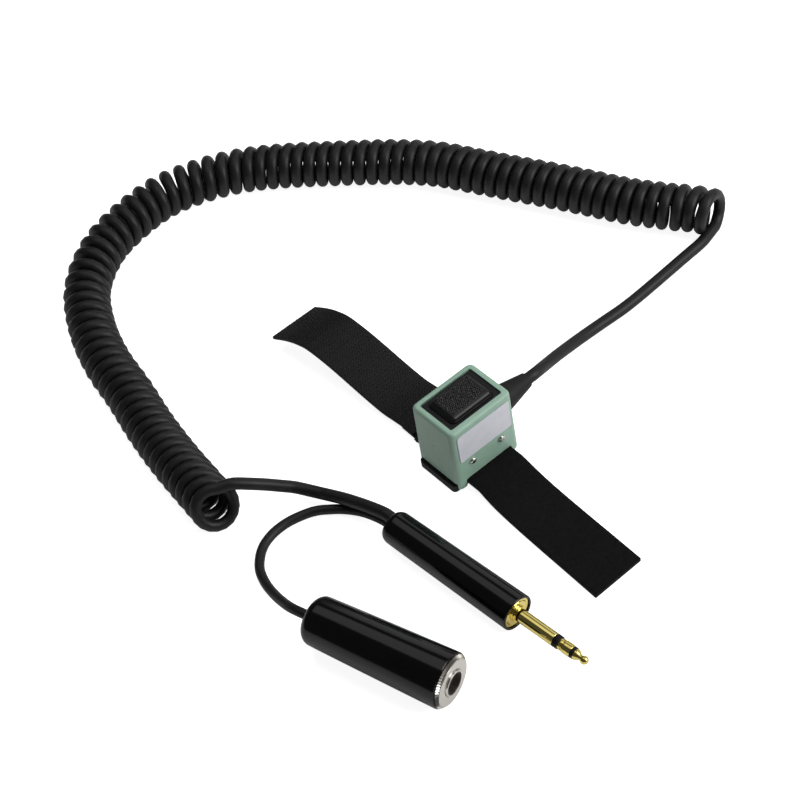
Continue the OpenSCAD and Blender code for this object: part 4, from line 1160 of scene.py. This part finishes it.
looks = {
    # the lighter edge tone is partly wear and partly a painted highlight along the rounded edges
    "mintPlastic": {"tone": (0.35, 0.54, 0.425), "other": (0.315, 0.495, 0.385),
                    "speck": (0.3, 0.47, 0.37), "specks": 0.15, "worn": (0.5, 0.68, 0.57),
                    "wear": 0.4, "rough": 0.38, "grainScale": 2600.0, "bump": 0.25,
                    "shader": {"Coat Roughness": 0.25, "IOR": 1.5}},
    "barePlate": {"tone": (0.78, 0.78, 0.84), "other": (0.7, 0.7, 0.78), "speck": (0.5, 0.5, 0.62),
                  "specks": 0.25, "driftScale": 160.0, "worn": (0.8, 0.8, 0.85), "rough": 0.42,
                  "grainScale": 1800.0, "bump": 0.15},
    "blackPlastic": {"tone": (0.005, 0.005, 0.0053), "other": (0.008, 0.0076, 0.008),
                     "worn": (0.03, 0.03, 0.03), "rough": 0.55, "grainScale": 2400.0,
                     "shader": {"IOR": 1.38}},
    "pebbledBlack": {"tone": (0.0055, 0.0052, 0.0056), "other": (0.009, 0.0085, 0.009),
                     "worn": (0.025, 0.025, 0.026), "rough": 0.3, "grainScale": 3000.0,
                     "bump": 0.35, "shader": {"IOR": 1.42}},
    "pebbleTop": {"tone": (0.006, 0.0057, 0.006), "other": (0.01, 0.0095, 0.01),
                  "worn": (0.03, 0.03, 0.031), "rough": 0.14, "spread": 0.06, "grainScale": 3000.0,
                  "bump": 0.1, "depth": 0.02, "shader": {"IOR": 1.65}},
    "nickelSteel": {"tone": (0.66, 0.65, 0.63), "other": (0.56, 0.55, 0.52),
                    "worn": (0.8, 0.79, 0.77), "wear": 0.4, "rough": 0.2, "grainScale": 2200.0,
                    "bump": 0.15, "depth": 0.02, "shader": {"Metallic": 1.0}},
    "phenolic": {"tone": (0.16, 0.05, 0.02), "other": (0.11, 0.035, 0.015),
                 "speck": (0.25, 0.1, 0.04), "specks": 0.5, "rough": 0.45, "grainScale": 1500.0,
                 "depth": 0.04},
    "whitePlastic": {"tone": (0.72, 0.68, 0.6), "other": (0.66, 0.61, 0.52), "rough": 0.4,
                     "grainScale": 2400.0, "bump": 0.2},
    "contactMetal": {"tone": (0.72, 0.47, 0.2), "other": (0.6, 0.36, 0.14),
                     "worn": (0.85, 0.62, 0.3), "wear": 0.4, "rough": 0.28, "bump": 0.2,
                     "depth": 0.02, "shader": {"Metallic": 1.0}},
    "wireInsulation": {"tone": (0.42, 0.02, 0.02), "other": (0.3, 0.015, 0.015), "rough": 0.4,
                       "grainScale": 1800.0, "bump": 0.2},
    "blackRubber": {"tone": (0.008, 0.0077, 0.008), "other": (0.012, 0.0115, 0.012),
                    "worn": (0.045, 0.044, 0.045), "wear": 0.35, "rough": 0.55,
                    "grainScale": 2200.0, "bump": 0.4, "depth": 0.04,
                    "shader": {"Specular IOR Level": 0.25}},
    "cordJacket": {"tone": (0.009, 0.0084, 0.0088), "other": (0.013, 0.012, 0.0126),
                   "speck": (0.05, 0.05, 0.05), "specks": 0.1, "worn": (0.03, 0.03, 0.03),
                   "wear": 0.2, "rough": 0.44, "grainScale": 1700.0, "depth": 0.04,
                   "shader": {"IOR": 1.38}},
    "fuzzyTape": {"tone": (0.002, 0.002, 0.002), "other": (0.006, 0.0057, 0.0057),
                  "driftScale": 900.0, "rough": 0.9, "spread": 0.1, "grainScale": 1500.0,
                  "bump": 1.0, "depth": 0.2,
                  "shader": {"Sheen Weight": 0.05, "Sheen Roughness": 0.5,
                             "Specular IOR Level": 0.15}},
    "loopYarn": {"tone": (0.0015, 0.0014, 0.0014), "other": (0.012, 0.0113, 0.011),
                 "driftScale": 700.0, "rough": 0.8, "spread": 0.1, "grainScale": 2600.0,
                 "bump": 0.5, "depth": 0.05,
                 "shader": {"Sheen Weight": 0.05, "Sheen Roughness": 0.4,
                            "Specular IOR Level": 0.25}},
    "hookTape": {"tone": (0.004, 0.0038, 0.004), "other": (0.007, 0.0066, 0.007),
                 "weave": (5026.0, 3700.0), "yarn": (0.01, 0.0095, 0.0095), "rough": 0.7,
                 "spread": 0.1, "grainScale": 1700.0, "bump": 0.7, "depth": 0.1,
                 "shader": {"Specular IOR Level": 0.35}},
    "nylonHook": {"tone": (0.009, 0.0087, 0.0093), "other": (0.022, 0.021, 0.0225),
                  "driftScale": 500.0, "rough": 0.45, "grainScale": 2500.0},
    "stitchThread": {"tone": (0.012, 0.012, 0.012), "other": (0.03, 0.03, 0.03), "rough": 0.6,
                     "grainScale": 3500.0, "bump": 0.7, "depth": 0.08},
    "plugHandle": {"tone": (0.0018, 0.0017, 0.0018), "other": (0.0026, 0.0025, 0.0026),
                   "worn": (0.01, 0.01, 0.01), "rough": 0.14, "spread": 0.06, "grainScale": 900.0,
                   "bump": 0.06, "shader": {"IOR": 1.42}},
    "plugGold": {"tone": (0.86, 0.72, 0.24), "other": (0.76, 0.61, 0.17),
                 "worn": (0.94, 0.84, 0.42), "wear": 0.35, "rough": 0.08, "spread": 0.05,
                 "marks": 5200.0, "turn": plugPlace["turn"], "grainScale": 1800.0, "bump": 0.08,
                 "depth": 0.02, "shader": {"Metallic": 1.0}},
    "plugInsulator": {"tone": (0.004, 0.0035, 0.0035), "other": (0.008, 0.007, 0.0065),
                      "rough": 0.5, "marks": 3000.0, "turn": plugPlace["turn"], "bump": 0.2,
                      "shader": {"IOR": 1.35}},
    "jackNickel": {"tone": (0.73, 0.70, 0.66), "other": (0.66, 0.63, 0.58),
                   "worn": (0.85, 0.83, 0.8), "rough": 0.2, "spread": 0.1, "marks": 4200.0,
                   "turn": jackPlace["turn"], "grainScale": 1900.0, "bump": 0.1, "depth": 0.02,
                   "shader": {"Metallic": 1.0}},
    # painted shade inside the jack's bore and thread, with lighter edges on the thread
    "boreShadeNickel": {"tone": (0.03, 0.026, 0.022), "other": (0.05, 0.042, 0.035),
                   "worn": (0.3, 0.27, 0.24), "wear": 0.35, "wearFrom": 0.5, "wearTo": 0.56,
                   "rough": 0.3, "marks": 4200.0, "turn": jackPlace["turn"], "grainScale": 1900.0,
                   "bump": 0.1, "depth": 0.02, "shader": {"Metallic": 0.7}},
    # painted shade in the knurl grooves of the jack's face nut
    "grooveShadeNickel": {"tone": (0.36, 0.34, 0.31), "other": (0.26, 0.245, 0.22),
                      "worn": (0.6, 0.58, 0.55), "rough": 0.35, "marks": 4200.0,
                      "turn": jackPlace["turn"], "grainScale": 1900.0, "bump": 0.1, "depth": 0.02,
                      "shader": {"Metallic": 1.0}},
}
materials = {name: makeMaterial(name, look) for name, look in looks.items()}

finishes = {
    "mintHousing": "mintPlastic", "baseBlock": "blackPlastic", "buttonCap": "pebbledBlack",
    "buttonPebbles": "pebbleTop", "buttonBezel": "blackPlastic", "housingScrews": "nickelSteel",
    "strainRelief": "blackRubber", "loopTape": "fuzzyTape", "yarnLoops": "loopYarn",
    "hookTape": "hookTape", "nylonHooks": "nylonHook", "seamStitches": "stitchThread",
    "curlyCord": "cordJacket", "jackLead": "cordJacket", "plugHandle": "plugHandle",
    "plugBody": "plugGold", "ringContact": "plugGold", "tipContact": "plugGold",
    "rearInsulator": "plugInsulator", "frontInsulator": "plugInsulator",
    "cordBushing": "blackRubber", "jackHandle": "plugHandle", "faceNut": "jackNickel",
    "jackBushing": "jackNickel",
}
nodeFinishes = {
    "label_plate": "barePlate", "return_springs": "nickelSteel", "switch_carrier": "blackPlastic",
    "switch_case": "phenolic", "switch_cover": "blackPlastic", "switch_plunger": "whitePlastic",
    "switch_blade": "contactMetal", "switch_terminals": "contactMetal",
    "lead_wires": "wireInsulation", "cord_stub": "cordJacket", "cord_clamp": "nickelSteel",
    "plug_terminals": "nickelSteel", "jack_insulator_stack": "phenolic",
    "jack_tip_spring": "contactMetal", "jack_ring_spring": "contactMetal",
    "jack_terminals": "nickelSteel", "jack_cord_grip": "nickelSteel",
}


def putMaterial(piece, name):
    piece.data.materials.clear()
    piece.data.materials.append(materials[name])


for piece in list(bpy.data.objects):
    if piece.name in finishes:
        putMaterial(piece, finishes[piece.name])
for name, node in frame["nodes"].items():
    putMaterial(node, nodeFinishes.get(name, "blackPlastic"))


def paintShadeOnFaces(piece, look, place, test):
    # a darker look painted on as shade where the piece lies in a hollow; the test gets a face's
    # place along the turned piece, its distance from the axis, both in mm, its angle in degrees
    # and whether it faces forward
    turn = math.radians(place["turn"])
    axis = Vector((math.cos(turn), math.sin(turn), 0))
    side = Vector((-math.sin(turn), math.cos(turn), 0))
    piece.data.materials.append(materials[look])
    for face in piece.data.polygons:
        spot = (face.center - Vector(place["at"]) * mm) / mm
        along = spot.dot(axis)
        angle = math.degrees(math.atan2(spot.dot(side), spot.z)) % 360
        if test(along, (spot - axis * along).length, angle, face.normal.dot(axis) > 0.95):
            face.material_index = 1


# painted shade: the bore and thread inside the jack's mouth get the dark nickel
paintShadeOnFaces(jackPieces["jackBushing"], "boreShadeNickel", jackPlace,
          lambda along, out, angle, front: along > 30 and out < 4.45 and not front)
# painted shade: alternate facets on the knurled rim get a darker nickel, so the teeth show
paintShadeOnFaces(jackPieces["faceNut"], "grooveShadeNickel", jackPlace,
          lambda along, out, angle, front: along > jackSetup["long"] - jackSetup["nut"] and out > 9
          and not front and int(angle * jackSetup["teeth"] / 180) % 2 == 0)
report("materials")

studioSetup = {
    "floor": (0.93, 0.93, 0.93),
    "glow": 0.9, "bounce": 0.12,  # the floor is lit from behind as well
    "sky": 0.07,
    # place, what it points at, size, watts
    "lamps": {
        "topBox": ((0.25, 0.3, 0.95), (0, 0.05, 0), (1.0, 0.7), 5.0),
        "sideBox": ((0.55, -0.75, 0.6), (0, 0, 0), (0.6, 0.8), 7.0),
    },
    # seen only as reflections: degrees above the line to the camera, width in degrees, watts
    "strips": {"lowStrip": (40, 38, 2.9), "highStrip": (93, 33, 2.1)},
    "stripAway": 1.1, "stripLong": 1.6, "stripTurn": -80,
}


def addLamp(name, width, height, watts):
    lamp = bpy.data.lights.new(name, "AREA")
    lamp.shape = "RECTANGLE"
    lamp.size, lamp.size_y = width, height
    lamp.energy = watts
    holder = bpy.data.objects.new(name, lamp)
    bpy.context.scene.collection.objects.link(holder)
    return holder


def makeStudio(s):
    clearPick()
    bpy.ops.mesh.primitive_plane_add(size=6, location=(0, 0, 0))
    floor = bpy.context.object
    floor.name = "floor"
    material = bpy.data.materials.new("paleFloor")
    material.use_nodes = True
    shader = material.node_tree.nodes["Principled BSDF"]
    shader.inputs["Base Color"].default_value = (*s["floor"], 1)
    shader.inputs["Roughness"].default_value = 0.9
    shader.inputs["Specular IOR Level"].default_value = 0.0
    shader.inputs["Emission Color"].default_value = (1, 1, 1, 1)
    # the glow whitens the floor as the camera sees it, and lights the object less
    rays = addNode(material.node_tree, "LightPath").outputs["Is Camera Ray"]
    glow = addRange(material.node_tree, rays, 0.0, 1.0, s["bounce"], s["glow"])
    material.node_tree.links.new(glow, shader.inputs["Emission Strength"])
    floor.data.materials.append(material)
    world = bpy.data.worlds.new("studioAir")
    bpy.context.scene.world = world
    world.use_nodes = True
    world.node_tree.nodes["Background"].inputs["Color"].default_value = (1, 1, 1, 1)
    world.node_tree.nodes["Background"].inputs["Strength"].default_value = s["sky"]
    for name, (place, target, size, watts) in s["lamps"].items():
        holder = addLamp(name, *size, watts)
        holder.location = place
        aim = Vector(target) - Vector(place)
        holder.rotation_euler = aim.to_track_quat("-Z", "Y").to_euler()
        holder.visible_glossy = name != "topBox"
    turn = math.radians(s["stripTurn"])
    axis = Vector((math.cos(turn), math.sin(turn), 0))
    toCamera = bpy.context.scene.camera.location.normalized()
    toCamera = (toCamera - axis * toCamera.dot(axis)).normalized()
    upward = toCamera.cross(axis)
    for name, (angle, width, watts) in s["strips"].items():
        across = 2 * s["stripAway"] * math.tan(math.radians(width / 2))
        holder = addLamp(name, across, s["stripLong"], watts)
        away = toCamera * math.cos(math.radians(angle)) + upward * math.sin(math.radians(angle))
        holder.location = away * s["stripAway"]
        holder.rotation_euler = Matrix((axis.cross(away), axis, away)).transposed().to_euler()
        holder.visible_diffuse = False
    bpy.context.scene.view_settings.view_transform = "Standard"


makeStudio(studioSetup)
report("studio")

clearPick()
